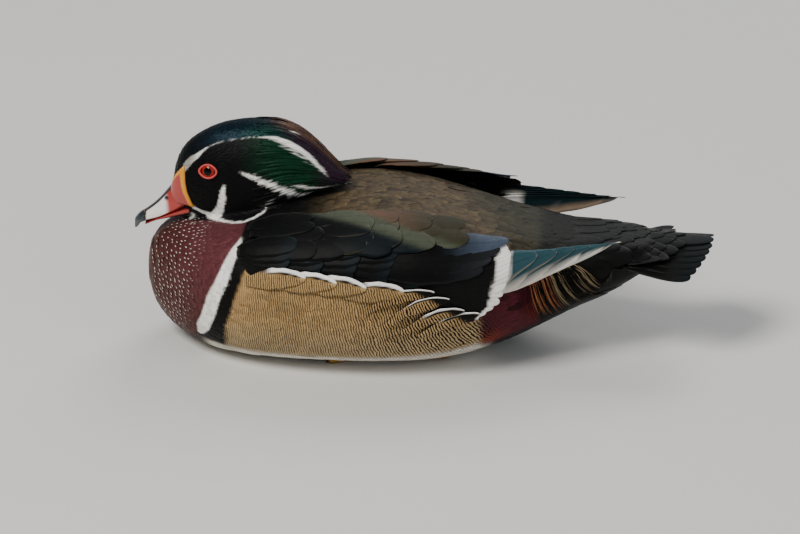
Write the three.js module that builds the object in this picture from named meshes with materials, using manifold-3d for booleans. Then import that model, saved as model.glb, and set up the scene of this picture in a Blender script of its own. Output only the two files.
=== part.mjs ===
// A wood duck drake at life size, resting on its belly with its neck drawn in and its feet tucked under.
// Millimetres. +X runs towards the tail, +Z is up, and the bird's left side faces -Y.
// The origin is on the flat that the belly rests on.

import * as THREE from "three";
import Module from "manifold-3d";

const wasm = await Module();
wasm.setup();

const GAP = 0.36; // between neighbouring pieces that touch
const WIDE_GAP = 0.6; // round pieces whose facets don't line up with their pocket's
const LEFT = -1;
const RIGHT = 1;
const DEGREE = Math.PI / 180;

// Stations along the trunk: x, half width, top, height of the widest line, and bottom,
// which the belly's flat cuts off.
const TRUNK = [
  [-157, 3, 50, 46, 41],
  [-155, 11, 61, 46, 30],
  [-150, 19, 69, 46, 18],
  [-140, 31.5, 76, 45, 8],
  [-125, 48, 82, 44, 1],
  [-105, 62.5, 87, 44, -3],
  [-80, 72, 93, 45, -4],
  [-50, 78, 98, 46, -4],
  [-20, 79.5, 101, 47, -4],
  [10, 76, 98, 49, -4],
  [35, 69, 92, 51, -2],
  [60, 58, 86, 54, 4],
  [85, 46, 81, 57, 14.5],
  [110, 36, 77.2, 60, 27.5],
  [132, 30, 75.4, 63, 39.5],
  [148, 23, 74, 65.5, 50],
  [162, 10, 71.8, 67, 60],
];

// The outline that the folded wing keeps to. It leaves the trunk behind the thigh and
// narrows to the wing tips.
const FOLDED_WING = [
  [-100, 65, 88, 44, -3],
  [-80, 72, 93, 45, -4],
  [-50, 78, 98.5, 46, -4],
  [-20, 79.5, 101.5, 47, -4],
  [10, 77, 99.5, 50, -2],
  [40, 71, 95.5, 56, 8],
  [65, 65, 91.5, 62, 22],
  [90, 57, 90.5, 69, 38],
  [115, 48, 91, 76, 55],
  [145, 39, 91, 84, 74],
];

// The head with its hood of feathers, from the bill's root over the nape to the tips of the crest.
const HEAD = [
  [-141, 5, 100, 94, 88],
  [-139.5, 8.5, 110, 97, 85],
  [-136.5, 12, 119.5, 99, 83],
  [-132, 15, 126.5, 101, 81],
  [-124, 18, 133, 102, 78],
  [-114, 20.5, 138.5, 102, 75],
  [-102, 22, 142, 102, 74],
  [-90, 22.5, 143.5, 104, 75.5],
  [-77, 21.5, 143, 108, 81],
  [-64, 19, 138.5, 111, 91.5],
  [-52, 15.5, 129, 111, 98.5],
  [-44, 12.5, 120.5, 109, 100.2],
  [-36, 9, 112, 106.5, 102.2],
  [-29, 5, 106.8, 105, 103.4],
];

const BILL = {
  upper: [
    [-164.6, 3.6, 75.5, 73.5, 71.5],
    [-162, 5.4, 78.4, 74.8, 72.6],
    [-157, 6.6, 81.8, 76.8, 75],
    [-150, 7.4, 88, 79.2, 77.4],
    [-143, 8.6, 96.5, 83, 80.6],
    [-137, 10.4, 104.5, 87.5, 83.6],
    [-131, 12.4, 111.5, 93, 86.8],
  ],
  lower: [
    [-160, 4.6, 73.2, 72.4, 71.4],
    [-150, 6.6, 77.2, 76.2, 74.6],
    [-140, 8.6, 81.9, 80, 77.2],
    [-130, 11, 86.6, 83.5, 80],
  ],
  nailBack: -158.5,
  nostril: { x: -146.5, z: 87.5, length: 2.8, radius: 1.1, depth: 2 },
};

const EYE = { x: -117, z: 115, radius: 6.4, sunk: 4.9, lidRadius: 5.3, lidThickness: 1.1, lidOut: 1.2 };

const SQUARENESS = 2.5; // exponent of the trunk's superelliptic sections
const ROUND_SIDES = 24;

const v3 = (x, y, z) => new THREE.Vector3(x, y, z);
const mix = (a, b, t) => a + (b - a) * t;

// A smooth curve through the stations that never overshoots them: monotone cubic pieces in every column.
function smooth(stations) {
  const xs = stations.map((row) => row[0]);
  const columns = stations[0].slice(1).map((_, k) => {
    const ys = stations.map((row) => row[k + 1]);
    const chords = ys.slice(1).map((y, i) => (y - ys[i]) / (xs[i + 1] - xs[i]));
    const slopes = ys.map((_, i) => {
      if (i === 0) return chords[0];
      if (i === ys.length - 1) return chords[i - 1];
      const [before, after] = [chords[i - 1], chords[i]];
      return before * after <= 0 ? 0 : (2 * before * after) / (before + after);
    });
    return { ys, slopes };
  });
  return (x) => {
    let i = xs.findIndex((key) => key > x) - 1;
    if (i < 0) i = x < xs[0] ? 0 : xs.length - 2;
    const span = xs[i + 1] - xs[i];
    const t = THREE.MathUtils.clamp((x - xs[i]) / span, 0, 1);
    return columns.map(
      ({ ys, slopes }) =>
        ys[i] * (1 + 2 * t) * (1 - t) ** 2 +
        slopes[i] * span * t * (1 - t) ** 2 +
        ys[i + 1] * t * t * (3 - 2 * t) -
        slopes[i + 1] * span * t * t * (1 - t),
    );
  };
}

// A body of superelliptic sections square to X. An angle of 0 is the middle of the top and 180 of the bottom.
class Form {
  constructor(stations, squareness = SQUARENESS) {
    this.stations = stations;
    this.at = smooth(stations);
    this.power = 2 / squareness;
  }

  point(x, angle, side) {
    const [width, top, middle, low] = this.at(x);
    const sine = Math.sin(angle * DEGREE);
    const cosine = Math.cos(angle * DEGREE);
    const reach = cosine > 0 ? top - middle : low - middle;
    const up = reach * Math.abs(cosine) ** this.power;
    return v3(x, side * width * Math.max(sine, 0) ** this.power, middle + up);
  }

  normal(x, angle, side) {
    const [first, last] = [this.stations[0][0], this.stations.at(-1)[0]];
    const x0 = Math.max(x - 1, first);
    const x1 = Math.min(x + 1, last);
    const along = this.point(x1, angle, side).sub(this.point(x0, angle, side));
    const round = this.point(x, angle + 1, side).sub(this.point(x, angle - 1, side));
    return round.cross(along).multiplyScalar(-side).normalize();
  }

  lifted(x, angle, side, height) {
    return this.point(x, angle, side).addScaledVector(this.normal(x, angle, side), height);
  }

  // The whole body between two stations, as rings joined into one closed solid and grown outwards if asked.
  solid(xs, sides = ROUND_SIDES, grow = 0) {
    const ring = (x, shift) => {
      const [width, top, middle, low] = this.at(x);
      return Array.from({ length: sides }, (_, i) => {
        const turn = (2 * Math.PI * i) / sides;
        const [s, c] = [Math.sin(turn), Math.cos(turn)];
        const reach = c > 0 ? top - middle + grow : middle - low + grow;
        const across = Math.sign(s) * (width + grow) * Math.abs(s) ** this.power;
        return v3(x + shift, across, middle + Math.sign(c) * reach * Math.abs(c) ** this.power);
      });
    };
    const rings = xs.map((x) => ring(x, 0));
    return tube(grow ? [ring(xs[0], -grow), ...rings, ring(xs.at(-1), grow)] : rings);
  }
}

// A closed solid from a vertex list and triangles, turned to face outwards.
function solidOf(points, faces) {
  const vertProperties = new Float32Array(points.flatMap((p) => [p.x, p.y, p.z]));
  const make = (list) =>
    new wasm.Manifold(new wasm.Mesh({ numProp: 3, vertProperties, triVerts: new Uint32Array(list) }));
  const made = make(faces);
  if (made.volume() > 0) return made;
  const turned = [];
  for (let i = 0; i < faces.length; i += 3) turned.push(faces[i], faces[i + 2], faces[i + 1]);
  return make(turned);
}

// Rings of points joined one to the next, each end closed round its own centre.
function tube(rings) {
  const n = rings[0].length;
  const points = rings.flat();
  const faces = [];
  for (let i = 0; i + 1 < rings.length; i++)
    for (let j = 0; j < n; j++) {
      const [a, b] = [i * n + j, i * n + ((j + 1) % n)];
      faces.push(a, b, b + n, a, b + n, a + n);
    }
  [0, rings.length - 1].forEach((end) => {
    const centre = rings[end].reduce((sum, p) => sum.add(p), v3(0, 0, 0)).divideScalar(n);
    const c = points.push(centre) - 1;
    for (let j = 0; j < n; j++) {
      const [a, b] = [end * n + j, end * n + ((j + 1) % n)];
      faces.push(...(end ? [a, b, c] : [b, a, c]));
    }
  });
  return solidOf(points, faces);
}

// A closed sheet between an outer and an inner grid of points of the same size, with both faces split alike.
function sheet(outer, inner) {
  const rows = outer.length;
  const columns = outer[0].length;
  const points = [...outer.flat(), ...inner.flat()];
  const under = rows * columns;
  const id = (i, j) => i * columns + j;
  const faces = [];
  const wall = (a, b) => faces.push(a, b, b + under, a, b + under, a + under);
  for (let i = 0; i + 1 < rows; i++)
    for (let j = 0; j + 1 < columns; j++) {
      const [a, b, c, d] = [id(i, j), id(i, j + 1), id(i + 1, j + 1), id(i + 1, j)];
      faces.push(a, c, b, a, d, c);
      faces.push(a + under, b + under, c + under, a + under, c + under, d + under);
    }
  for (let j = 0; j + 1 < columns; j++) {
    wall(id(0, j), id(0, j + 1));
    wall(id(rows - 1, j + 1), id(rows - 1, j));
  }
  for (let i = 0; i + 1 < rows; i++) {
    wall(id(i + 1, 0), id(i, 0));
    wall(id(i, columns - 1), id(i + 1, columns - 1));
  }
  return solidOf(points, faces);
}

const steps = (from, to, count) => Array.from({ length: count + 1 }, (_, i) => mix(from, to, i / count));

// A panel that follows a form between two lines of angles, with a rounded swell of its own.
function panel(form, side, { x0, x1, upper, lower, out, swell = 0, depth, rows, columns }, grow = 0) {
  const grid = (height) =>
    steps(0, 1, rows).map((u) =>
      steps(0, 1, columns).map((v) => {
        const x = mix(x0 - grow, x1 + grow, u);
        const slack = (grow / 60) * (180 / Math.PI);
        const angle = mix(upper(u) - slack, lower(u) + slack, v);
        return form.lifted(x, angle, side, height(u, v));
      }),
    );
  const crown = (u, v) => swell * Math.sin(Math.PI * v) ** 0.7 * Math.sin(Math.PI * (0.12 + 0.8 * u)) ** 0.7;
  return sheet(
    grid((u, v) => out(u) + crown(u, v) + grow),
    grid((u) => -depth(u) - grow),
  );
}

const join = (solids) => wasm.Manifold.union(solids);

// A node keeps only its largest closed surface.
function largest(solid) {
  const bodies = solid.decompose();
  return bodies.reduce((best, body) => (body.volume() > best.volume() ? body : best), bodies[0]);
}

const trunk = new Form(TRUNK);
const wingForm = new Form(FOLDED_WING, 2.9);
const headForm = new Form(HEAD, 2.15);

const TRUNK_RINGS = [-157, -155.5, -152, -146, -137, -126, -112, -94, -72, -46, -18, 10]
  .concat([36, 60, 82, 104, 124, 143, 162]);

const wholeTrunk = trunk.solid(TRUNK_RINGS).trimByPlane([0, 0, 1], 0);

// Plain planes that part the trunk: each is a point on it and its normal.
const BREAST_CUT = { at: [-98, 0, 54], normal: [-0.94, 0, 0.34] };
const RUMP_CUT = { at: [76, 0, 54], normal: [1, 0, 0] };
const HOOD_CUT = { at: [-70, 0, 116], normal: [1, 0, 0.2] };

function beyond(solid, { at, normal }, sign) {
  const n = v3(...normal).normalize().multiplyScalar(sign);
  return solid.trimByPlane([n.x, n.y, n.z], n.dot(v3(...at)) + GAP / 2);
}

const FLANK = {
  x0: -100,
  x1: 50,
  upper: (u) => 70 + 27 * u ** 2.4,
  lower: (u) => 150 - 22 * u ** 2 - 14 * (1 - u) ** 4,
  out: () => 0.3,
  swell: 1.5,
  depth: () => 5,
  rows: 7,
  columns: 4,
};

const WING_ARM = {
  x0: -88,
  x1: 44,
  upper: (u) => 47.5 + 5 * u,
  lower: (u) => 68 + 22 * u ** 2.6,
  out: (u) => 0.2 - 2.2 * Math.min(1, 4 * u),
  depth: () => 7,
  rows: 5,
  columns: 2,
};

// The room that the feathers of the folded wing need above the trunk and the flank.
const WING_BED = {
  x0: -62,
  x1: 80,
  upper: () => 44,
  lower: (u) => 77 + 30 * Math.min(1, 1.15 * u) ** 1.6,
  out: () => 8,
  depth: (u) => mix(2.8, 8, THREE.MathUtils.smoothstep(u, 0.35, 0.62)),
  rows: 5,
  columns: 3,
};

const SCAPULARS = {
  x0: -84,
  x1: 16,
  upper: (u) => 21 + 6 * u,
  lower: (u) => 45.5 - 3 * u,
  out: () => 0.4,
  swell: 2.6,
  depth: () => 3,
  rows: 5,
  columns: 3,
};

const PLUME_ROOT = {
  x0: 82,
  x1: 110,
  upper: () => 66,
  lower: () => 80,
  out: () => 0.8,
  depth: () => 2.5,
  rows: 3,
  columns: 2,
};

const less = (solid, ...others) => others.flat().reduce((left, other) => left.subtract(other), solid);

// The room that the crest needs above the trunk.
const hood = (grow) => headForm.solid(steps(-70, -29, 6), 16, grow + 2.4);

// A panel's pocket in the trunk: as deep as the panel and open to the outside.
const pocket = (form, side, shape) => panel(form, side, { ...shape, out: () => 5, swell: 0 }, WIDE_GAP);

// How a vane's half width, as a share of its widest, runs from its root to its rounded or pointed tip.
const ROUND_TIP = [
  [0, 0.5],
  [0.3, 0.9],
  [0.66, 1],
  [0.9, 0.7],
  [1, 0.2],
];
const LONG_TIP = [
  [0, 0.5],
  [0.35, 0.95],
  [0.68, 0.85],
  [0.9, 0.5],
  [1, 0.14],
];
const SHORT_TIP = [
  [0, 0.6],
  [0.5, 1],
  [0.85, 0.75],
  [1, 0.22],
];

const VANE = { thickness: 0.62, crown: 0.25, tilt: 1.3, ease: 0.35, bow: 0, outline: ROUND_TIP };

// One feather laid on a form, from a root sunk in its node to a free tip. A tilt lifts its lower edge over
// the next feather, and a small ease brings it up to its full height soon after the root.
function vane(form, side, shape) {
  const { from, to, width, lift, thickness, crown, tilt, ease, bow, outline } = { ...VANE, ...shape };
  const grid = (below) =>
    outline.map(([s, share]) => {
      const x = mix(from[0], to[0], s);
      const middle = mix(from[1], to[1], s) + bow * Math.sin(Math.PI * s);
      const round = form.point(x, middle + 1, side).distanceTo(form.point(x, middle - 1, side)) / 2;
      return [-1, 0, 1].map((v) => {
        const angle = middle + (v * share * width * 0.5) / round;
        const height = mix(lift[0], lift[1], s ** ease) + share * (crown * (1 - v * v) + (tilt / 2) * v);
        return form.lifted(x, angle, side, height - below);
      });
    });
  return sheet(grid(0), grid(thickness));
}

const tier = (count, each) => Array.from({ length: count }, (_, i) => each(i / (count - 1), i));

// The outermost primary is the longest and lies innermost, under the shorter ones.
const primaries = (side) =>
  tier(5, (t, i) =>
    vane(wingForm, side, {
      from: [24, mix(66, 82, t)],
      to: [mix(90, 139, t), mix(72, 76, t)],
      width: mix(20, 15, t),
      lift: [-1.7 - 1.1 * i, -1.2 - 1.1 * i],
      tilt: 0.2,
      outline: LONG_TIP,
      bow: 2,
    }),
  );

// The secondaries fan down the rear edge of the arm, the upper ones lying over the lower.
const secondaries = (side) =>
  tier(4, (t) =>
    vane(wingForm, side, {
      from: [mix(-4, 4, t), mix(57, 73, t)],
      to: [mix(70, 54, t ** 1.4), mix(60, 92, t)],
      width: 17.5,
      lift: [-3.4, mix(2.4, -0.4, t)],
    }),
  );

const tertials = (side) =>
  tier(3, (t) =>
    vane(wingForm, side, {
      from: [-14, mix(55, 64, t)],
      to: [mix(72, 56, t), mix(49, 67, t)],
      width: 16,
      lift: [-3.2, mix(4, 3.3, t)],
      outline: LONG_TIP,
    }),
  );

// Two rows of coverts over the roots of the secondaries.
const coverts = (side) =>
  [0, 1].flatMap((row) =>
    tier(3, (t) =>
      vane(wingForm, side, {
        from: [mix(-34, -26, t) - 26 * row, mix(58, 68, t) - 3 * row],
        to: [mix(14, 8, t) - 27 * row, mix(59, 78, t) - 4 * row],
        width: 15,
        lift: [-3.2, mix(2.8, 0.2, t)],
        outline: SHORT_TIP,
      }),
    ),
  );

// Bronze feathers of the shoulder in three rows, each row's tips over the roots of the next.
const shoulders = (side) =>
  [0, 1, 2].flatMap((row) =>
    tier(3, (t) =>
      vane(wingForm, side, {
        from: [mix(-74, -68, t) + 30 * row, mix(28, 42, t)],
        to: [mix(-34, -36, t) + mix(40, 36, t) * row, mix(28, 46, t) + row],
        width: 17,
        lift: [1.5, mix(6.2, 5.6, t)],
        tilt: 1.6,
      }),
    ),
  );

// White-tipped feathers along the flank's upper edge, lying over the wing, and plainer ones at its rear.
const flankEdge = (side) => [
  ...tier(6, (t) =>
    vane(wingForm, side, {
      from: [mix(-90, 2, t), mix(79, 97, t)],
      to: [mix(-46, 52, t), mix(64, 93, t ** 1.5)],
      width: 13,
      lift: [-1.8, 4.4],
      tilt: 0.4,
      ease: 0.6,
    }),
  ),
  ...tier(3, (t) =>
    vane(trunk, side, {
      from: [mix(24, 8, t), mix(106, 128, t)],
      to: [mix(62, 48, t), mix(104, 128, t)],
      width: 18,
      lift: [-1, 2.6],
      outline: SHORT_TIP,
    }),
  ),
];

// Long loose feathers that hang from under the wing beside the rump, each a narrow lock swept down and back.
const plumeLocks = (side) =>
  tier(6, (t, i) =>
    vane(trunk, side, {
      from: [mix(85, 107, t), 73],
      to: [mix(90, 130, t), mix(126, 112, t)],
      width: 3.2,
      lift: [1.1, i % 2 ? 2.7 : 1.7],
      tilt: 0,
      crown: 0.3,
      outline: LONG_TIP,
    }),
  );

const wingArm = (side) => panel(wingForm, side, WING_ARM);
const wingVanes = (side) => [primaries, secondaries, tertials, coverts].flatMap((make) => make(side));
const wing = (side) => join([wingArm(side), ...wingVanes(side)]);
const scapulars = (side) => join([panel(wingForm, side, SCAPULARS), ...shoulders(side)]);
const flankBed = (side) => panel(trunk, side, FLANK);
const flankCore = (side) => less(flankBed(side), pocket(wingForm, side, WING_BED), wingArm(side));
const flank = (side) => join([flankCore(side), ...flankEdge(side)]);
const plumes = (side) => join([panel(trunk, side, PLUME_ROOT), ...plumeLocks(side)]);

// The tail's roof: highest in the middle, falling away to both sides. Its feathers lie in levels under it.
const TAIL = {
  pairs: 6,
  root: 116,
  rootEnd: 140,
  tip: 194.5,
  corner: 0.9, // how much shorter each pair is than the one inside it, growing outwards
  rootWidth: 21,
  tipWidth: 33,
  rootHeight: 75.6,
  tipHeight: 73.6,
  fall: 12,
  featherWidth: 16,
  thickness: 0.65,
  pitch: 1, // from one level to the next
};

// A point of the tail, by the share of the way from root to tip, the share of the half width
// and the depth under the roof.
function roof(u, v, down) {
  const { root, tip, rootWidth, tipWidth, rootHeight, tipHeight, fall } = TAIL;
  const wide = mix(rootWidth, tipWidth, Math.sin((Math.min(u, 1) * Math.PI) / 2));
  const drop = mix(fall * 0.5, fall, u) * Math.abs(v) ** 1.5;
  return v3(mix(root, tip, u), wide * v, mix(rootHeight, tipHeight, u) - drop - down);
}

const tailDepth = TAIL.pitch * (TAIL.pairs + 1) + 0.45;

function tailSlab(end, columns, grow = 0) {
  const grid = (down) =>
    steps(-grow / 70, end, 2).map((u) =>
      steps(-1, 1, columns).map((v) => roof(u, v * (1 + grow / 20), down)),
    );
  return sheet(grid(-grow), grid(tailDepth + grow));
}

// The middle pair crosses over, so the right one of it lies a level lower.
function tailFeather(side, i) {
  const { root, tip, corner, tipWidth, featherWidth, thickness, pitch } = TAIL;
  const end = 1 - (corner * i ** 1.6) / (tip - root);
  const level = i === 0 && side === LEFT ? 0 : i + 1;
  const middle = (0.12 + 0.17 * i) * side;
  const top = pitch * level + 0.15;
  const grid = (down) =>
    ROUND_TIP.map(([s, share]) => {
      const half = (share * featherWidth * 0.5) / tipWidth;
      return [-1, 0, 1].map((w) =>
        roof(mix(0.15, end, s), middle * mix(0.8, 1, s) + w * half, down + top + 0.3 * w * w),
      );
    });
  return sheet(grid(0), grid(thickness));
}

const tail = () =>
  join([
    tailSlab((TAIL.rootEnd - TAIL.root) / (TAIL.tip - TAIL.root), 6),
    ...[LEFT, RIGHT].flatMap((side) => tier(TAIL.pairs, (t, i) => tailFeather(side, i))),
  ]);

const CREST = { coreEnd: -50, locks: 3, width: 11 };

// Flat tapered locks in two layers: short outer ones over long inner ones that close round the crest's tip.
const crestLocks = (side) =>
  [0, 1].flatMap((layer) =>
    tier(CREST.locks, (t) =>
      vane(headForm, side, {
        from: [-66 + 12 * layer, mix(16, 150, t) - 8 * layer],
        to: [mix(-44, -54, t) + mix(15, 24, t) * layer, mix(20, 130, t) - 8 * layer],
        width: CREST.width - 2 * layer,
        lift: [-1.6, 1.3 - 1.6 * layer],
        tilt: 0.5,
        outline: LONG_TIP,
      }),
    ),
  );

function crest() {
  const core = headForm.solid(steps(-80, CREST.coreEnd, 3), 16);
  return beyond(join([core, ...[LEFT, RIGHT].flatMap(crestLocks)]), HOOD_CUT, 1);
}

const NECK = { x: -99, z: 73, length: 27, width: 33, height: 22 };

function neck(grow = 0) {
  const ball = new THREE.SphereGeometry(1, 14, 8);
  ball.scale(NECK.length + grow, NECK.height + grow, NECK.width + grow);
  ball.rotateX(Math.PI / 2);
  ball.translate(NECK.x, 0, NECK.z);
  return fromGeometry(ball);
}

// A three.js primitive as a solid: vertices that share a place become one, and collapsed faces go.
function fromGeometry(geometry) {
  const position = geometry.getAttribute("position");
  const index = geometry.index ? [...geometry.index.array] : [...Array(position.count).keys()];
  const places = new Map();
  const points = [];
  const place = (i) => {
    const key = [position.getX(i), position.getY(i), position.getZ(i)].map((c) => Math.round(c * 1e4)).join();
    if (!places.has(key)) places.set(key, points.push(v3().fromBufferAttribute(position, i)) - 1);
    return places.get(key);
  };
  const faces = [];
  for (let i = 0; i < index.length; i += 3) {
    const [a, b, c] = [place(index[i]), place(index[i + 1]), place(index[i + 2])];
    if (a !== b && b !== c && a !== c) faces.push(a, b, c);
  }
  return solidOf(points, faces);
}

const HEAD_RINGS = [-141, -139.5, -136.5, -132, -125, -116, -106, -95, -84, -74, -64];
const headAndHood = (grow = 0) => headForm.solid(HEAD_RINGS, 20, grow);

const upperBillForm = new Form(BILL.upper, 2.2);
const lowerBillForm = new Form(BILL.lower, 2.4);
const BILL_RINGS = [-164.6, -163, -160, -155, -149, -143, -137, -131];
const upperBill = (grow = 0) => upperBillForm.solid(BILL_RINGS, 14, grow);
const lowerBill = (grow = 0) => lowerBillForm.solid([-160, -156, -149, -140, -130], 10, grow);

function eyeCentre(side) {
  const skin = eyeSkin(side);
  return skin.point.addScaledVector(skin.normal, -EYE.sunk);
}

// The head's surface beside the eye, found by the angle at which the section is as high as the eye.
function eyeSkin(side) {
  let angle = 20;
  while (headForm.point(EYE.x, angle, side).z > EYE.z) angle += 0.25;
  return { point: headForm.point(EYE.x, angle, side), normal: headForm.normal(EYE.x, angle, side) };
}

function eyeball(side, grow = 0) {
  const ball = new THREE.SphereGeometry(EYE.radius + grow, 10, 7);
  const centre = eyeCentre(side);
  ball.translate(centre.x, centre.y, centre.z);
  return fromGeometry(ball);
}

function eyelid(side, grow = 0) {
  const { point, normal } = eyeSkin(side);
  const ring = new THREE.TorusGeometry(EYE.lidRadius, EYE.lidThickness + grow, 5, 11);
  ring.scale(1.06, 0.9, 1);
  ring.applyQuaternion(new THREE.Quaternion().setFromUnitVectors(v3(0, 0, 1), normal));
  const at = point.addScaledVector(normal, EYE.lidOut - EYE.lidThickness * 0.6);
  ring.translate(at.x, at.y, at.z);
  return fromGeometry(ring);
}

// Feet folded flat under the belly: a shank lying forward and three webbed toes.
const FOOT = { x: -6, y: 34, heelX: 34, thickness: 3.4, spread: 24, toes: [40, 46, 38], shankRadius: 2.6 };

function foot(side, grow = 0) {
  const { x, y, thickness, spread, toes } = FOOT;
  const fan = [-1, -0.5, 0, 0.5, 1].map((t, i) => {
    const reach = [toes[0], 34, toes[1], 36, toes[2]][i] + grow;
    const turn = t * spread * DEGREE;
    return [x - reach * Math.cos(turn), side * (y - reach * Math.sin(turn) * 0.8)];
  });
  const shape = new THREE.Shape();
  shape.moveTo(x + 4 + grow, side * (y - 4 - grow));
  shape.lineTo(x + 4 + grow, side * (y + 4 + grow));
  [...fan].forEach(([fx, fy]) => shape.lineTo(fx, fy));
  shape.closePath();
  const plate = new THREE.ExtrudeGeometry(shape, { depth: thickness + 2 * grow, bevelEnabled: false });
  plate.translate(0, 0, -grow);
  return fromGeometry(plate);
}

function shank(side, grow = 0) {
  const { x, y, heelX, shankRadius } = FOOT;
  const radius = shankRadius + grow;
  const rod = new THREE.CylinderGeometry(radius, radius + 0.6, heelX - x - 5 + grow, 8);
  rod.rotateZ(Math.PI / 2);
  rod.translate((x + 5 + heelX) / 2, side * y, shankRadius + 0.6);
  return fromGeometry(rod);
}

const both = (make, grow) => [make(LEFT, grow), make(RIGHT, grow)];

// A slot sunk in the side of the upper bill.
function nostril(side) {
  const { x, z, length, radius, depth } = BILL.nostril;
  const bore = new THREE.CylinderGeometry(radius, radius, 2 * depth, 10);
  bore.scale(length / 2 / radius, 1, 1);
  bore.rotateY(-50 * DEGREE);
  bore.translate(x, side * upperBillForm.at(x)[0] * 0.75, z);
  return fromGeometry(bore);
}

function parts() {
  const head = less(
    beyond(headAndHood(), HOOD_CUT, -1),
    upperBill(GAP),
    lowerBill(GAP),
    both(eyeball, GAP),
    both(eyelid, GAP),
  );
  const nail = upperBill().trimByPlane([-1, 0, 0], -BILL.nailBack + GAP / 2);
  const beak = less(upperBill().trimByPlane([1, 0, 0], BILL.nailBack + GAP / 2), both(nostril));
  const pockets = [LEFT, RIGHT].flatMap((side) => [
    pocket(wingForm, side, WING_ARM),
    pocket(wingForm, side, WING_BED),
    pocket(wingForm, side, SCAPULARS),
    pocket(trunk, side, FLANK),
    pocket(trunk, side, PLUME_ROOT),
  ]);
  const underHead = [headAndHood(GAP), hood(GAP), upperBill(GAP), lowerBill(GAP)];
  const feet = [foot, shank].flatMap((make) => both(make, WIDE_GAP));
  const body = less(wholeTrunk, neck(GAP), underHead, pockets, feet, tailSlab(1, 10, WIDE_GAP));
  return {
    head,
    crest: crest(),
    bill_upper: beak,
    bill_nail: nail,
    bill_lower: less(lowerBill(), upperBill(GAP)),
    eye_left: less(eyeball(LEFT), eyelid(LEFT, GAP)),
    eye_right: less(eyeball(RIGHT), eyelid(RIGHT, GAP)),
    eyelid_left: eyelid(LEFT),
    eyelid_right: eyelid(RIGHT),
    neck: less(neck(), underHead),
    breast: beyond(body, BREAST_CUT, 1),
    torso: beyond(beyond(body, BREAST_CUT, -1), RUMP_CUT, -1),
    rump: beyond(body, RUMP_CUT, 1),
    flank_left: flank(LEFT),
    flank_right: flank(RIGHT),
    wing_left: wing(LEFT),
    wing_right: wing(RIGHT),
    scapulars_left: scapulars(LEFT),
    scapulars_right: scapulars(RIGHT),
    plumes_left: plumes(LEFT),
    plumes_right: plumes(RIGHT),
    tail: tail(),
    foot_left: foot(LEFT),
    foot_right: foot(RIGHT),
    leg_left: shank(LEFT),
    leg_right: shank(RIGHT),
  };
}

const COLOURS = {
  head: [0x0c2a22, 0.45],
  crest: [0x2a2130, 0.45],
  bill: [0xb8382a, 0.4],
  nail: [0x15171a, 0.35],
  eye: [0x8a1512, 0.15],
  lid: [0xd8382c, 0.5],
  neck: [0x4d2227, 0.6],
  breast: [0x5a2a26, 0.65],
  torso: [0x3a332a, 0.7],
  flank: [0xa9834f, 0.75],
  wing: [0x10161c, 0.5],
  scapulars: [0x34392f, 0.6],
  plumes: [0x6a3a26, 0.6],
  tail: [0x161d1a, 0.55],
  foot: [0xb08a3c, 0.6],
};

const LOOK = [
  [/^head/, "head"],
  [/^crest/, "crest"],
  [/^bill_nail/, "nail"],
  [/^bill/, "bill"],
  [/^eyelid/, "lid"],
  [/^eye/, "eye"],
  [/^neck/, "neck"],
  [/^breast/, "breast"],
  [/^(torso|rump)/, "torso"],
  [/^flank/, "flank"],
  [/^wing/, "wing"],
  [/^scapulars/, "scapulars"],
  [/^plumes/, "plumes"],
  [/^tail/, "tail"],
  [/^(foot|leg)/, "foot"],
];

function meshOf(name, solid) {
  const { numProp, vertProperties, triVerts } = largest(solid).getMesh();
  const position = new Float32Array((vertProperties.length / numProp) * 3);
  for (let i = 0; i < position.length / 3; i++)
    position.set(vertProperties.subarray(i * numProp, i * numProp + 3), i * 3);
  const geometry = new THREE.BufferGeometry();
  geometry.setAttribute("position", new THREE.BufferAttribute(position, 3));
  geometry.setIndex(new THREE.BufferAttribute(new Uint32Array(triVerts), 1));
  geometry.computeVertexNormals();
  const [color, roughness] = COLOURS[LOOK.find(([pattern]) => pattern.test(name))[1]];
  const mesh = new THREE.Mesh(geometry, new THREE.MeshStandardMaterial({ color, roughness, metalness: 0 }));
  mesh.name = name;
  return mesh;
}

const duck = new THREE.Group();
Object.entries(parts()).forEach(([name, solid]) => duck.add(meshOf(name, solid)));

export default duck;
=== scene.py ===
"""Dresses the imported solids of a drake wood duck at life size: skin, plumage, bill, eyes and feet.

Sizes in the tables are millimetres in the frame of the solids: +X runs to the tail, +Z is up and the
bird's left side faces -Y. Meshes are made in millimetres and scaled to metres as they are built.
"""

from __future__ import annotations

import logging
import math
from collections.abc import Callable, Sequence
from dataclasses import dataclass, field
from enum import Enum
from typing import ClassVar

import bmesh
import bpy
import numpy as np
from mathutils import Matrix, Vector
from mathutils.bvhtree import BVHTree


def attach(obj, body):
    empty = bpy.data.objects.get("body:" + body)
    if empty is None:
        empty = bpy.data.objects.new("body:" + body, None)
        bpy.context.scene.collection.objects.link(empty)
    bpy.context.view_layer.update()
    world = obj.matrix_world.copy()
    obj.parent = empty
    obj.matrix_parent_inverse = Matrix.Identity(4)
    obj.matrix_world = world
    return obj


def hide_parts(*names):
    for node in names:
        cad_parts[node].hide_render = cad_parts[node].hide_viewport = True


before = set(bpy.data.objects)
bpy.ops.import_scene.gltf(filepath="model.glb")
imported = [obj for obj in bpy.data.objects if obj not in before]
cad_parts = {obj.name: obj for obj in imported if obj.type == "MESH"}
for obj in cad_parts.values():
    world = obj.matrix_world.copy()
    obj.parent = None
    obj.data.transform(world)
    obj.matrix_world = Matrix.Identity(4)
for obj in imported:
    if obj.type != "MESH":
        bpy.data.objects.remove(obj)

LOG = logging.getLogger("wood_duck")
MM = 0.001
SEED = 1871
RING_STEPS = 721
SKIN_FLOOR = 0.8
ROOT_FLOOR = 1.5
FEATHER_FLOOR = 0.15
ROOT_REACH = 4.5
PATCH = 0.03
EYE_PATCH = 0.02
TURN = 6.2832
Array = np.ndarray
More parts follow.
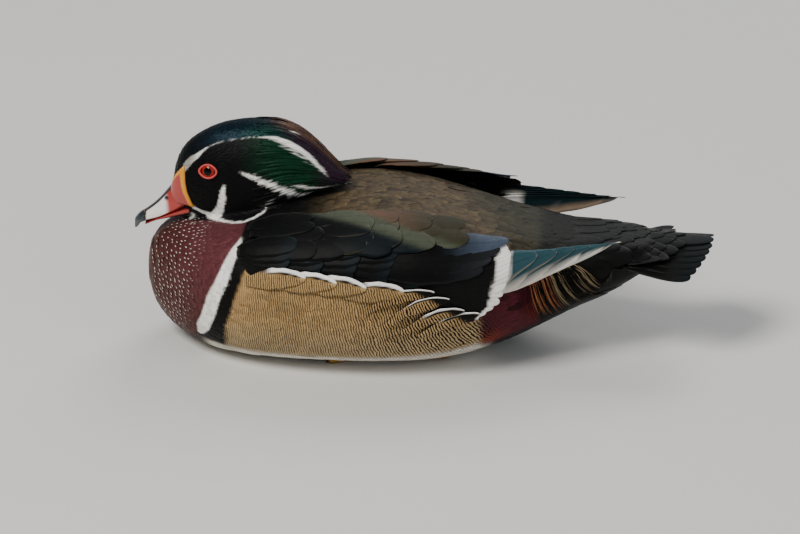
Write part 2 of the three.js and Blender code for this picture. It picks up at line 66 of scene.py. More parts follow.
Station = tuple[float, float, float, float, float]


class Side(Enum):
    """The two sides of the bird, by the sign of Y."""

    LEFT = -1.0
    RIGHT = 1.0

    @property
    def word(self) -> str:
        """The side's name as the nodes write it."""
        return self.name.lower()


class Slot(Enum):
    """The record's material slots."""

    HEAD = "head_feathers"
    CREST = "crest_feathers"
    HORN = "bill_horn"
    NAIL = "bill_nail"
    EYE = "eye"
    LID = "eyelid"
    BREAST = "breast_feathers"
    BACK = "back_feathers"
    FLANK = "flank_feathers"
    WING = "wing_feathers"
    SCAPULARS = "scapular_feathers"
    PLUMES = "rump_plumes"
    TAIL = "tail_feathers"
    FOOT = "foot_skin"


class Patch(Enum):
    """Where the maps of the small bare pieces start on the unwrap that the coat shares."""

    FACE = 0.74
    SHANK = 0.78
    WEB = 0.82
    BILL = 0.86
    EYE = 0.9
    LID = 0.93


def tone(code: int) -> Array:
    """Linear red, green and blue from a colour written as 0xRRGGBB."""
    channels = np.array([(code >> 16) & 255, (code >> 8) & 255, code & 255]) / 255.0
    return np.where(channels <= 0.04045, channels / 12.92, ((channels + 0.055) / 1.055) ** 2.4)


def ramp(x: Array | float, start: float, end: float) -> Array:
    """A smooth step from 0 at start to 1 at end, which may run either way."""
    t = np.clip((np.asarray(x, float) - start) / (end - start), 0.0, 1.0)
    return t * t * (3.0 - 2.0 * t)


def mix(a: Array | float, b: Array | float, t: Array | float) -> Array:
    """A blend of two numbers, or of two colours by a column of shares.

    Args:
        a: What a share of 0 gives.
        b: What a share of 1 gives.
        t: The share, or a column of shares.

    Returns:
        The blend.
    """
    a, b, t = np.asarray(a, float), np.asarray(b, float), np.asarray(t, float)
    if t.ndim and (a.ndim > t.ndim or b.ndim > t.ndim or (a.ndim == 1 and len(a) == 3 and t.shape != (3,))):
        t = t[..., None]
    return a + (b - a) * t


TRUNK: tuple[Station, ...] = (
    (-157, 3, 50, 46, 41),
    (-155, 11, 61, 46, 30),
    (-150, 19, 69, 46, 18),
    (-140, 31.5, 76, 45, 8),
    (-125, 48, 82, 44, 1),
    (-105, 62.5, 87, 44, -3),
    (-80, 72, 93, 45, -4),
    (-50, 78, 98, 46, -4),
    (-20, 79.5, 101, 47, -4),
    (10, 76, 98, 49, -4),
    (35, 69, 92, 51, -2),
    (60, 58, 86, 54, 4),
    (85, 46, 81, 57, 14.5),
    (110, 36, 77.2, 60, 27.5),
    (132, 30, 75.4, 63, 39.5),
    (148, 23, 74, 65.5, 50),
    (162, 10, 71.8, 67, 60),
)

FOLDED_WING: tuple[Station, ...] = (
    (-100, 65, 88, 44, -3),
    (-80, 72, 93, 45, -4),
    (-50, 78, 98.5, 46, -4),
    (-20, 79.5, 101.5, 47, -4),
    (10, 77, 99.5, 50, -2),
    (40, 71, 95.5, 56, 8),
    (65, 65, 91.5, 62, 22),
    (90, 57, 90.5, 69, 38),
    (115, 48, 91, 76, 55),
    (145, 39, 91, 84, 74),
)

HEAD: tuple[Station, ...] = (
    (-141, 5, 100, 94, 88),
    (-139.5, 8.5, 110, 97, 85),
    (-136.5, 12, 119.5, 99, 83),
    (-132, 15, 126.5, 101, 81),
    (-124, 18, 133, 102, 78),
    (-114, 20.5, 138.5, 102, 75),
    (-102, 22, 142, 102, 74),
    (-90, 22.5, 143.5, 104, 75.5),
    (-77, 21.5, 143, 108, 81),
    (-64, 19, 138.5, 111, 91.5),
    (-52, 15.5, 129, 111, 98.5),
    (-44, 12.5, 120.5, 109, 100.2),
    (-36, 9, 112, 106.5, 102.2),
    (-29, 5, 106.8, 105, 103.4),
)

UPPER_BILL: tuple[Station, ...] = (
    (-164.6, 3.6, 75.5, 73.5, 71.5),
    (-162, 5.4, 78.4, 74.8, 72.6),
    (-157, 6.6, 81.8, 76.8, 75),
    (-150, 7.4, 88, 79.2, 77.4),
    (-143, 8.6, 96.5, 83, 80.6),
    (-137, 10.4, 104.5, 87.5, 83.6),
    (-131, 12.4, 111.5, 93, 86.8),
)

LOWER_BILL: tuple[Station, ...] = (
    (-160, 4.6, 73.2, 72.4, 71.4),
    (-150, 6.6, 77.2, 76.2, 74.6),
    (-140, 8.6, 81.9, 80, 77.2),
    (-130, 11, 86.6, 83.5, 80),
)


def circle(count: int) -> Array:
    """Angles in radians that share out a full turn."""
    return np.linspace(0, 2 * np.pi, count, endpoint=False)


@dataclass(frozen=True)
class Form:
    """A body of superelliptic sections square to X, with angle 0 at the top and 180 at the bottom."""

    stations: tuple[Station, ...]
    squareness: float = 2.5

    def at(self, x: Array) -> tuple[Array, Array, Array, Array]:
        """Half width, top, height of the widest line, and bottom at each x, by monotone cubic pieces.

        Args:
            x: Stations along the bird.

        Returns:
            Four arrays with a number for each x.
        """
        rows = np.asarray(self.stations, float)
        keys = rows[:, 0]
        x = np.asarray(x, float)
        i = np.clip(np.searchsorted(keys, x, side="right") - 1, 0, len(keys) - 2)
        span = keys[i + 1] - keys[i]
        t = np.clip((x - keys[i]) / span, 0.0, 1.0)
        values = []
        for ys in rows[:, 1:].T:
            chords = np.diff(ys) / np.diff(keys)
            before, after = chords[:-1], chords[1:]
            total = np.where(before + after == 0, 1.0, before + after)
            inner = np.where(before * after <= 0, 0.0, 2 * before * after / total)
            slopes = np.concatenate([chords[:1], inner, chords[-1:]])
            values.append(
                ys[i] * (1 + 2 * t) * (1 - t) ** 2
                + slopes[i] * span * t * (1 - t) ** 2
                + ys[i + 1] * t * t * (3 - 2 * t)
                - slopes[i + 1] * span * t * t * (1 - t)
            )
        return values[0], values[1], values[2], values[3]

    def point(self, x: Array, angle: Array, side: float) -> Array:
        """Places on the surface.

        Args:
            x: Stations along the body.
            angle: Degrees round the section from the middle of the top.
            side: The sign of Y.

        Returns:
            One row of X, Y and Z for each place.
        """
        width, top, middle, low = self.at(x)
        power = 2.0 / self.squareness
        sine = np.sin(np.radians(angle))
        cosine = np.cos(np.radians(angle))
        reach = np.where(cosine > 0, top - middle, low - middle)
        across = side * width * np.sign(sine) * np.abs(sine) ** power
        up = middle + reach * np.abs(cosine) ** power
        return rows_of(np.asarray(x, float), across, up)

    def normal(self, x: Array, angle: Array, side: float) -> Array:
        """Outward unit vectors at the places that point() gives for the same arguments.

        Args:
            x: Stations along the bird.
            angle: Degrees round the section.
            side: The sign of Y.

        Returns:
            One row of X, Y and Z for each place.
        """
        first, last = self.stations[0][0], self.stations[-1][0]
        low, high = np.maximum(x - 1.0, first), np.minimum(x + 1.0, last)
        length = self.point(high, angle, side) - self.point(low, angle, side)
        girth = self.point(x, angle + 1.0, side) - self.point(x, angle - 1.0, side)
        return unit(-side * np.cross(girth, length))

    def lifted(self, x: Array, angle: Array, side: float, height: Array) -> Array:
        """Places at a height above the surface."""
        return self.point(x, angle, side) + self.normal(x, angle, side) * np.asarray(height)[..., None]

    def angle_at(self, places: Array) -> Array:
        """The angle round the section of places on or near the surface.

        Args:
            places: Points in millimetres.

        Returns:
            Degrees from the middle of the top.
        """
        width, top, middle, low = self.at(places[:, 0])
        power = self.squareness / 2.0
        rise = places[:, 2] - middle
        reach = np.where(rise > 0, top - middle, middle - low)
        cosine = np.sign(rise) * np.clip(np.abs(rise) / np.maximum(reach, 1e-6), 0, 1.4) ** power
        sine = np.clip(np.abs(places[:, 1]) / np.maximum(width, 1e-6), 0, 1.4) ** power
        return np.degrees(np.arctan2(sine, cosine))

    def rings(self, xs: Array, sides: int, shrink: float = 0.0) -> Array:
        """Rings of points at the stations xs, drawn in by shrink.

        Args:
            xs: The stations.
            sides: Points in each ring.
            shrink: How far inside the surface the rings lie.

        Returns:
            An array of stations by sides by three.
        """
        width, top, middle, low = (v[:, None] for v in self.at(xs))
        turn = circle(sides)[None, :]
        power = 2.0 / self.squareness
        s, c = np.sin(turn), np.cos(turn)
        reach = np.maximum(np.where(c > 0, top - middle, middle - low) - shrink, 0.3)
        across = np.maximum(width - shrink, 0.3) * np.sign(s) * np.abs(s) ** power
        up = middle + np.sign(c) * reach * np.abs(c) ** power
        return rows_of(xs[:, None], across, up)


trunk_form = Form(TRUNK)
wing_form = Form(FOLDED_WING, 2.9)
head_form = Form(HEAD, 2.15)
upper_bill_form = Form(UPPER_BILL, 2.2)
lower_bill_form = Form(LOWER_BILL, 2.4)


class Wire:
    """A node's output socket that takes part in Python expressions, each of which adds a Math node."""

    def __init__(self, graph: Graph, socket: bpy.types.NodeSocket) -> None:
        """Keeps the socket and the graph that new nodes go into."""
        self.graph = graph
        self.socket = socket

    def math(self, operation: str, *others: Wire | float) -> Wire:
        """One Math node with this socket as its first value."""
        return self.graph.node("ShaderNodeMath", {"operation": operation}, dict(enumerate((self, *others))))

    def __add__(self, other: Wire | float) -> Wire:
        """The sum."""
        return self.math("ADD", other)

    def __radd__(self, other: Wire | float) -> Wire:
        """The sum with a number on the left."""
        return self.math("ADD", other)

    def __sub__(self, other: Wire | float) -> Wire:
        """The difference."""
        return self.math("SUBTRACT", other)

    def __rsub__(self, other: Wire | float) -> Wire:
        """The difference from a number on the left."""
        return self.graph.node("ShaderNodeMath", {"operation": "SUBTRACT"}, {0: other, 1: self})

    def __mul__(self, other: Wire | float) -> Wire:
        """The product."""
        return self.math("MULTIPLY", other)

    def step(self, start: float, end: float) -> Wire:
        """A smooth step from 0 at start to 1 at end.

        Args:
            start: The value that gives 0.
            end: The value that gives 1.

        Returns:
            The step's output.
        """
        settings = {"interpolation_type": "SMOOTHSTEP"}
        low, high = min(start, end), max(start, end)
        limits = (0.0, 1.0) if end > start else (1.0, 0.0)
        values = {0: self, 1: low, 2: high, 3: limits[0], 4: limits[1]}
        return self.graph.node("ShaderNodeMapRange", settings, values)


class Graph:
    """The node tree of one material and the few ways in which nodes are added to it."""

    def __init__(self, name: str) -> None:
        """Makes an empty material of this name with one Principled surface.

        Args:
            name: Its name.
        """
        self.material = bpy.data.materials.new(name)
        self.material.use_nodes = True
        self.tree = self.material.node_tree
        self.tree.nodes.clear()
        self.surface = self.tree.nodes.new("ShaderNodeBsdfPrincipled")
        output = self.tree.nodes.new("ShaderNodeOutputMaterial")
        self.tree.links.new(self.surface.outputs[0], output.inputs[0])

    def put(self, socket: bpy.types.NodeSocket, value: object) -> None:
        """Links a wire to a socket, or sets a plain value on it.

        Args:
            socket: The input socket.
            value: A wire, a number, or a sequence for a colour or a vector.
        """
        if isinstance(value, Wire):
            self.tree.links.new(value.socket, socket)
        elif isinstance(value, (int, float)):
            socket.default_value = value
        else:
            numbers = [float(v) for v in value]
            size = len(socket.default_value)
            socket.default_value = (numbers + [1.0])[:size] if len(numbers) < size else numbers[:size]

    def node(self, kind: str, settings: dict[str, object], values: dict, out: object = 0) -> Wire:
        """Adds one node.

        Args:
            kind: The node's type.
            settings: Its own settings, such as an operation, which are set first.
            values: What its input sockets get, by name or number.
            out: The name or number of the output that is wanted.

        Returns:
            That output as a wire.
        """
        made = self.tree.nodes.new(kind)
        for key, value in settings.items():
            setattr(made, key, value)
        for key, value in values.items():
            self.put(made.inputs[key], value)
        return Wire(self, made.outputs[out])

    def blend(self, share: Wire | float, first: object, second: object, how: str = "MIX") -> Wire:
        """A Mix node on two colours."""
        settings = {"data_type": "RGBA", "blend_type": how}
        return self.node("ShaderNodeMix", settings, {0: share, 6: first, 7: second}, 2)

    def places(self) -> Wire:
        """The piece's own coordinates, in metres."""
        return self.node("ShaderNodeTexCoord", {}, {}, "Object")

    def attribute(self, name: str, out: str) -> Wire:
        """What the mesh stores for each of its points under a name."""
        return self.node("ShaderNodeAttribute", {"attribute_name": name}, {}, out)

    def axes(self, vector: Wire, count: int) -> list[Wire]:
        """The first few numbers of a vector, one by one."""
        return [self.node("ShaderNodeSeparateXYZ", {}, {0: vector}, i) for i in range(count)]

    def vane(self) -> list[Wire]:
        """The places across and down a feather, from its map."""
        return self.axes(self.node("ShaderNodeUVMap", {"uv_map": "Vane"}, {}), 2)

    def noise(self, scale: float, detail: float = 3.0, roughness: float = 0.5) -> Wire:
        """A noise texture's value."""
        values = {"Vector": self.places(), "Scale": scale, "Detail": detail, "Roughness": roughness}
        return self.node("ShaderNodeTexNoise", {}, values, 0)

    def tinted(self, colour: object, share: Wire, depth: float) -> Wire:
        """A colour made darker or lighter by a value from 0 to 1.

        Args:
            colour: The colour.
            share: The value, where 0.5 changes nothing.
            depth: How far the colour moves.

        Returns:
            The changed colour.
        """
        scale = (share - 0.5) * depth + 1.0
        settings = {"operation": "SCALE"}
        return self.node("ShaderNodeVectorMath", settings, {0: colour, "Scale": scale})

    def bump(self, height: Wire, distance: float, strength: float = 1.0, base: Wire | None = None) -> Wire:
        """A Bump node.

        Args:
            height: The height, from 0 to 1.
            distance: The depth that a height of 1 stands for, in metres.
            strength: The node's strength.
            base: A bump that it adds to.

        Returns:
            The normal.
        """
        values: dict[object, object] = {"Height": height, "Distance": distance, "Strength": strength}
        if base is not None:
            values["Normal"] = base
        return self.node("ShaderNodeBump", {}, values)

    def finish(self, **sockets: object) -> bpy.types.Material:
        """Feeds the surface's sockets and gives back the material.

        Args:
            **sockets: Values by socket name, with an underscore for each space.

        Returns:
            The material.
        """
        for name, value in sockets.items():
            self.put(self.surface.inputs[name.replace("_", " ")], value)
        return self.material


@dataclass(frozen=True)
class PlumeFinish:
    """Feathers: the vanes' own tint, with barbs, a shaft, mottling, fine bars and pale flecks."""

    name: str
    roughness: float = 0.62
    shine: float = 0.36
    barbs: float = 34.0
    mottle: float = 0.35
    shaft: float = 0.25
    edge: float = 0.0
    sheen: float = 0.04
    fleck: int = 0xE9E3D8
    bar: int = 0x120C08

    def make(self) -> bpy.types.Material:
        """The material.

        Returns:
            The material.
        """
        graph = Graph(self.name)
        tint = graph.attribute("Tint", "Color")
        gloss = graph.attribute("Tint", "Alpha")
        bars, phase, fleck = graph.axes(graph.attribute("Weave", "Vector"), 3)
        across, down = graph.vane()
        off = (across - 0.5).math("ABSOLUTE") * 2.0
        broad = graph.noise(260.0, 4.0, 0.6)
        fine = graph.noise(1500.0, 2.0)
        slant = (down * self.barbs + off * (self.barbs * 0.45) + fine * 1.5) * TURN
        barb = slant.math("SINE") * 0.5 + 0.5
        wavy = (phase + graph.noise(170.0, 2.0) * 1.6 + graph.noise(620.0, 1.0) * 0.55) * TURN
        line = wavy.math("SINE").step(-0.35, 0.25)
        colour = graph.blend(line * bars, tint, tone(self.bar))
        spot = (down * 1.5 - off - 1.12).step(0.0, 0.09)
        colour = graph.blend(spot * fleck, colour, tone(self.fleck))
        rim = graph.blend(1.0, colour, (1.9, 1.8, 1.65), "MULTIPLY")
        colour = graph.blend(off.step(0.72, 1.0) * self.edge, colour, rim)
        colour = graph.tinted(colour, broad, self.mottle)
        colour = graph.tinted(colour, barb, 0.22)
        colour = graph.tinted(colour, off.step(0.1, 0.02) * -0.5 + 0.5, self.shaft)
        rough = self.roughness - gloss * (self.roughness - self.shine) + (broad - 0.5) * 0.12
        ridge = off.step(0.09, 0.0)
        relief = graph.bump(barb * 0.6 + ridge * 0.5, 0.00006, 0.55)
        relief = graph.bump(broad, 0.0006, 0.25, relief)
        return graph.finish(
            Base_Color=colour, Roughness=rough, Metallic=gloss * 0.42, Normal=relief,
            Sheen_Weight=self.sheen, Sheen_Roughness=0.45, Specular_IOR_Level=0.1,
        )


@dataclass(frozen=True)
class HornFinish:
    """Bill horn and foot skin: painted by the mesh's tint, with pores, faint wear and a waxy coat."""

    name: str
    roughness: float = 0.38
    grain: float = 900.0
    depth: float = 0.00012
    coat: float = 0.25
    mottle: float = 0.3

    def make(self) -> bpy.types.Material:
        """The material.

        Returns:
            The material.
        """
        graph = Graph(self.name)
        tint = graph.attribute("Tint", "Color")
        broad = graph.noise(190.0, 5.0, 0.6)
        pores = graph.noise(self.grain, 3.0, 0.7)
        values = {"Vector": graph.places(), "Scale": self.grain * 0.7}
        plates = graph.node("ShaderNodeTexVoronoi", {"feature": "DISTANCE_TO_EDGE"}, values)
        colour = graph.tinted(tint, broad, self.mottle)
        colour = graph.tinted(colour, pores, self.mottle * 0.8)
        relief = graph.bump(plates.step(0.0, 0.12), self.depth, 0.3)
        relief = graph.bump(pores, self.depth, 0.6, relief)
        return graph.finish(
            Base_Color=colour, Roughness=self.roughness + (pores - 0.5) * 0.25, Normal=relief,
            Coat_Weight=self.coat, Coat_Roughness=0.3, Subsurface_Weight=0.04, Subsurface_Scale=0.002,
        )


@dataclass(frozen=True)
class EyeFinish:
    """The eyeball: a black pupil in an iris with fine spokes, under a clear wet coat."""

    name: str = "eye_wet"
    pupil: float = 0.55
    iris: int = 0x7A1512
    rim: int = 0x2A0606

    def make(self) -> bpy.types.Material:
        """The material, which reads the distance from the eye's axis from the Vane map.

        Returns:
            The material.
        """
        graph = Graph(self.name)
        out, turn = graph.vane()
        spokes = ((turn * 70.0 + graph.noise(900.0) * 2.0) * TURN).math("SINE") * 0.5 + 0.5
        iris = graph.blend(spokes * 0.5 + out.step(0.45, 0.7) * 0.3, tone(self.iris), tone(0xA22A20))
        iris = graph.blend(out.step(0.8, 0.97), iris, tone(self.rim))
        colour = graph.blend(out.step(self.pupil + 0.02, self.pupil - 0.02), iris, (0.0005, 0.0005, 0.0005))
        return graph.finish(
            Base_Color=colour, Roughness=graph.noise(500.0) * 0.05 + 0.08, Coat_Weight=0.3,
            Coat_Roughness=0.02, Coat_IOR=1.34, Specular_IOR_Level=0.1,
        )


@dataclass(frozen=True)
class FloorFinish:
    """A plain pale studio floor."""

    name: str = "studio_floor"
    colour: int = 0xD9D8D4

    def make(self) -> bpy.types.Material:
        """The material.

        Returns:
            The material.
        """
        graph = Graph(self.name)
        speck = graph.noise(60.0, 4.0)
        colour = graph.tinted(tone(self.colour), speck, 0.03)
        return graph.finish(Base_Color=colour, Roughness=speck * 0.1 + 0.75)


def bake_place(places: Array) -> Array:
    """Where places on the bird fall on the unwrap that all of the coat shares.

    The trunk fills the left of the map by its length and the turn round it, and the head fills the right.

    Args:
        places: Points in millimetres.

    Returns:
        One row of U and V for each point.
    """
    x, y, z = places.T
    on_head = (z > 74) & (x < -28) & (np.abs(y) < 30) & (z > 74 + ramp(x, -120, -60) * 22)
    middle = np.where(on_head, 105.0, np.interp(x, [-157, 60, 162], [46, 52, 70]))
    turn = (np.arctan2(y, z - middle) / (2 * np.pi) + 0.5) % 1.0
    trunk_u = 0.02 + 0.6 * (x + 160) / 355
    head_u = 0.66 + 0.32 * (x + 145) / 120
    u = np.clip(np.where(on_head, head_u, trunk_u), 0.005, 0.995)
    return np.stack([u, 0.02 + 0.95 * turn], axis=-1)


def store(mesh: bpy.types.Mesh, name: str, kind: str, key: str, rows: Array) -> None:
    """Stores rows of numbers as an attribute of a mesh's points."""
    mesh.attributes.new(name, kind, "POINT").data.foreach_set(key, rows.astype(np.float32).ravel())


def unwrap(mesh: bpy.types.Mesh, name: str, rows: Array) -> None:
    """Stores rows of U and V as a map of a mesh's corners."""
    mesh.uv_layers.new(name=name).data.foreach_set("uv", rows.astype(np.float32).ravel())


def placed(name: str, data: bpy.types.ID) -> bpy.types.Object:
    """A new object in the scene.

    Args:
        name: Its name.
        data: Its mesh, lamp or camera.

    Returns:
        The object.
    """
    made = bpy.data.objects.new(name, data)
    bpy.context.scene.collection.objects.link(made)
    return made


def unit(vectors: Array) -> Array:
    """Vectors brought to length 1."""
    return vectors / np.maximum(np.linalg.norm(vectors, axis=-1, keepdims=True), 1e-9)


@dataclass
class Batch:
    """Points, faces and per-point facts of one piece, gathered until the piece is built."""

    points: list[Array] = field(default_factory=list)
    quads: list[Array] = field(default_factory=list)
    tints: list[Array] = field(default_factory=list)
    weaves: list[Array] = field(default_factory=list)
    vanes: list[Array] = field(default_factory=list)
    bakes: list[Array] = field(default_factory=list)
    count: int = 0

    def add(
        self, points: Array, quads: Array, tint: Array, vane: Array, bake: Array,
        weave: Array | None = None,
    ) -> None:
        """Adds a set of points and the faces between them.

        Args:
            points: Rows of X, Y and Z in millimetres.
            quads: Rows of four point numbers.
            tint: Rows of red, green, blue and gloss.
            vane: Rows of the place across and down the vane, from 0 to 1.
            bake: Rows of U and V on the bake map.
            weave: Rows of the share of bars, their phase and the share of the fleck.
        """
        self.points.append(points.reshape(-1, 3))
        self.quads.append(quads.reshape(-1, 4) + self.count)
        self.tints.append(tint.reshape(-1, 4))
        self.vanes.append(vane.reshape(-1, 2))
        self.bakes.append(bake.reshape(-1, 2))
        total = points.size // 3
        self.weaves.append(np.zeros((total, 3)) if weave is None else weave.reshape(-1, 3))
        self.count += total

    def build(self, name: str, material: bpy.types.Material, slot: Slot) -> bpy.types.Object:
        """Makes the piece and lets it ride on the root body.

        Args:
            name: The piece's name.
            material: Its material.
            slot: The record's slot; not used.

        Returns:
            The new object.
        """
        points = np.concatenate(self.points) * MM
        quads = np.concatenate(self.quads)
        mesh = bpy.data.meshes.new(name)
        mesh.vertices.add(len(points))
        mesh.vertices.foreach_set("co", points.astype(np.float32).ravel())
        mesh.loops.add(quads.size)
        mesh.loops.foreach_set("vertex_index", quads.astype(np.int32).ravel())
        mesh.polygons.add(len(quads))
        mesh.polygons.foreach_set("loop_start", np.arange(0, quads.size, 4, dtype=np.int32))
        mesh.polygons.foreach_set("use_smooth", np.full(len(quads), True))
        mesh.update(calc_edges=True)
        store(mesh, "Tint", "FLOAT_COLOR", "color", np.concatenate(self.tints))
        store(mesh, "Weave", "FLOAT_VECTOR", "vector", np.concatenate(self.weaves))
        corners = quads.ravel()
        for title, rows in (("Vane", self.vanes), ("OFBake", self.bakes)):
            unwrap(mesh, title, np.concatenate(rows)[corners])
        mesh.validate()
        piece = placed(name, mesh)
        mesh.materials.append(material)
        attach(piece, "root")
        LOG.info("%s: %d faces", name, len(quads))
        return piece


def grid_quads(rows: int, columns: int, closed: bool = False) -> Array:
    """Faces of a grid of points.

    Args:
        rows: Points down the grid.
        columns: Points across it.
        closed: Whether the last column joins the first.

    Returns:
        Rows of four point numbers.
    """
    i, j = np.meshgrid(np.arange(rows - 1), np.arange(columns if closed else columns - 1), indexing="ij")
    k = (j + 1) % columns
    here, below = i * columns, (i + 1) * columns
    return np.stack([here + j, below + j, below + k, here + k], -1).reshape(-1, 4)


def read(table: Marks, x: Array | float, **ends: float) -> Array:
    """A table of pairs read at x, in straight lines between its rows."""
    return np.interp(x, *np.array(table).T, **ends)


def rows_of(*parts: Array) -> Array:
    """Rows with one number from each part, spread to a common shape."""
    return np.stack(np.broadcast_arrays(*parts), axis=-1)


def painted(colour: Array, shape: tuple[int, ...], gloss: Array | float = 0.0) -> Array:
    """A tint spread over an array of points, with its gloss as the fourth number.

    Args:
        colour: The colour.
        shape: The shape of the array of points.
        gloss: The gloss, from 0 to 1.

    Returns:
        Rows of red, green, blue and gloss.
    """
    tint = np.empty((*shape, 4))
    tint[..., :3] = colour
    tint[..., 3] = gloss
    return tint


@dataclass
class Skin:
    """One skin under all of the plumage, fused from the trunk, the drawn-in neck and the head."""

    depth: float = 1.3
    head_depth: float = 0.8
    neck_at: tuple[float, float, float] = (-99.0, 0.0, 73.0)
    neck_radii: tuple[float, float, float] = (26.0, 31.0, 15.0)
    voxel: float = 1.7
    tree: BVHTree | None = None

    def build(self, paint: Callable[[Array], Array], material: bpy.types.Material) -> None:
        """Fuses the forms and colours the skin as the coat above it.

        Args:
            paint: Gives a row of red, green, blue and gloss for each place.
            material: The skin's material.
        """
        body = bmesh.new()
        trunk_xs = np.concatenate([np.linspace(-156.4, -150, 6), np.linspace(-147, 160, 70)])
        self._loft(body, trunk_form.rings(trunk_xs, 80, self.depth))
        head_xs = np.concatenate([np.linspace(-140.4, -136, 5), np.linspace(-134, -38, 44)])
        self._loft(body, head_form.rings(head_xs, 64, self.head_depth))
        start = len(body.verts)
        bmesh.ops.create_icosphere(body, subdivisions=4, radius=1.0)
        body.verts.ensure_lookup_table()
        for vertex in body.verts[start:]:
            shares = zip(vertex.co, self.neck_radii, self.neck_at)
            vertex.co = Vector([c * (r - 1.0) + o for c, r, o in shares])
        for vertex in body.verts:
            vertex.co.z = max(vertex.co.z, SKIN_FLOOR)
            vertex.co *= MM
        mesh = bpy.data.meshes.new("skin")
        body.to_mesh(mesh)
        body.free()
        skin = placed("skin", mesh)
        fuse = skin.modifiers.new("fuse", "REMESH")
        fuse.mode = "VOXEL"
        fuse.voxel_size = self.voxel * MM
        soften = skin.modifiers.new("soften", "SMOOTH")
        soften.factor = 0.5
        soften.iterations = 6
        graph = bpy.context.evaluated_depsgraph_get()
        fused = bpy.data.meshes.new_from_object(skin.evaluated_get(graph))
        skin.modifiers.clear()
        skin.data = fused
        self._dress(fused, paint, material)
        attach(skin, "root")
        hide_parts("head", "neck", "breast", "torso", "rump")
        self.tree = BVHTree.FromPolygons(
            [v.co / MM for v in fused.vertices],
            [tuple(p.vertices) for p in fused.polygons],
        )
        LOG.info("skin: %d faces", len(fused.polygons))

    @staticmethod
    def _loft(body: bmesh.types.BMesh, rings: Array) -> None:
        """Adds rings joined into a closed tube.

        Args:
            body: The mesh that takes the tube.
            rings: Stations by sides by three.
        """
        loops = [[body.verts.new(p) for p in ring] for ring in rings]
        for first, second in zip(loops, loops[1:]):
            for j, vertex in enumerate(first):
                k = (j + 1) % len(first)
                body.faces.new((vertex, first[k], second[k], second[j]))
        body.faces.new(list(reversed(loops[0])))
        body.faces.new(loops[-1])

    @staticmethod
    def _dress(mesh: bpy.types.Mesh, paint: Callable[[Array], Array], material: bpy.types.Material) -> None:
        """Gives the fused skin its tint, its maps and its material.

        Args:
            mesh: The skin's mesh.
            paint: Gives the tint of each place.
            material: The material.
        """
        places = np.empty(len(mesh.vertices) * 3, np.float32)
        mesh.vertices.foreach_get("co", places)
        places = places.reshape(-1, 3) / MM
        store(mesh, "Tint", "FLOAT_COLOR", "color", paint(places))
        corners = np.empty(len(mesh.loops), np.int32)
        mesh.loops.foreach_get("vertex_index", corners)
        uv = bake_place(places)[corners]
        starts = np.empty(len(mesh.polygons), np.int32)
        mesh.polygons.foreach_get("loop_start", starts)
        highest = np.maximum.reduceat(uv[:, 1], starts)
        lowest = np.minimum.reduceat(uv[:, 1], starts)
        totals = np.diff(np.append(starts, len(corners)))
        wraps = np.repeat(highest - lowest > 0.5, totals)
        uv[:, 1] = np.where(wraps & (uv[:, 1] < 0.5), 0.985, uv[:, 1])
        for title in ("Vane", "OFBake"):
            unwrap(mesh, title, uv)
        mesh.polygons.foreach_set("use_smooth", np.full(len(mesh.polygons), True))
        mesh.materials.append(material)

    def settle(self, places: Array) -> tuple[Array, Array]:
        """The nearest places on the skin and the skin's normals there."""
        found = [self.tree.find_nearest(Vector(p)) for p in places]
        return np.array([f[0] for f in found]), np.array([f[1] for f in found])


@dataclass(frozen=True)
class Growth:
    """How the small feathers of one tract grow."""

    row: float
    pitch: float
    length: float
    width: float
    rise: float
    lift: float = 0.1
    rows: int = 6
    columns: int = 5
    camber: float = 0.12
    jitter: float = 0.18
    point: float = 0.35


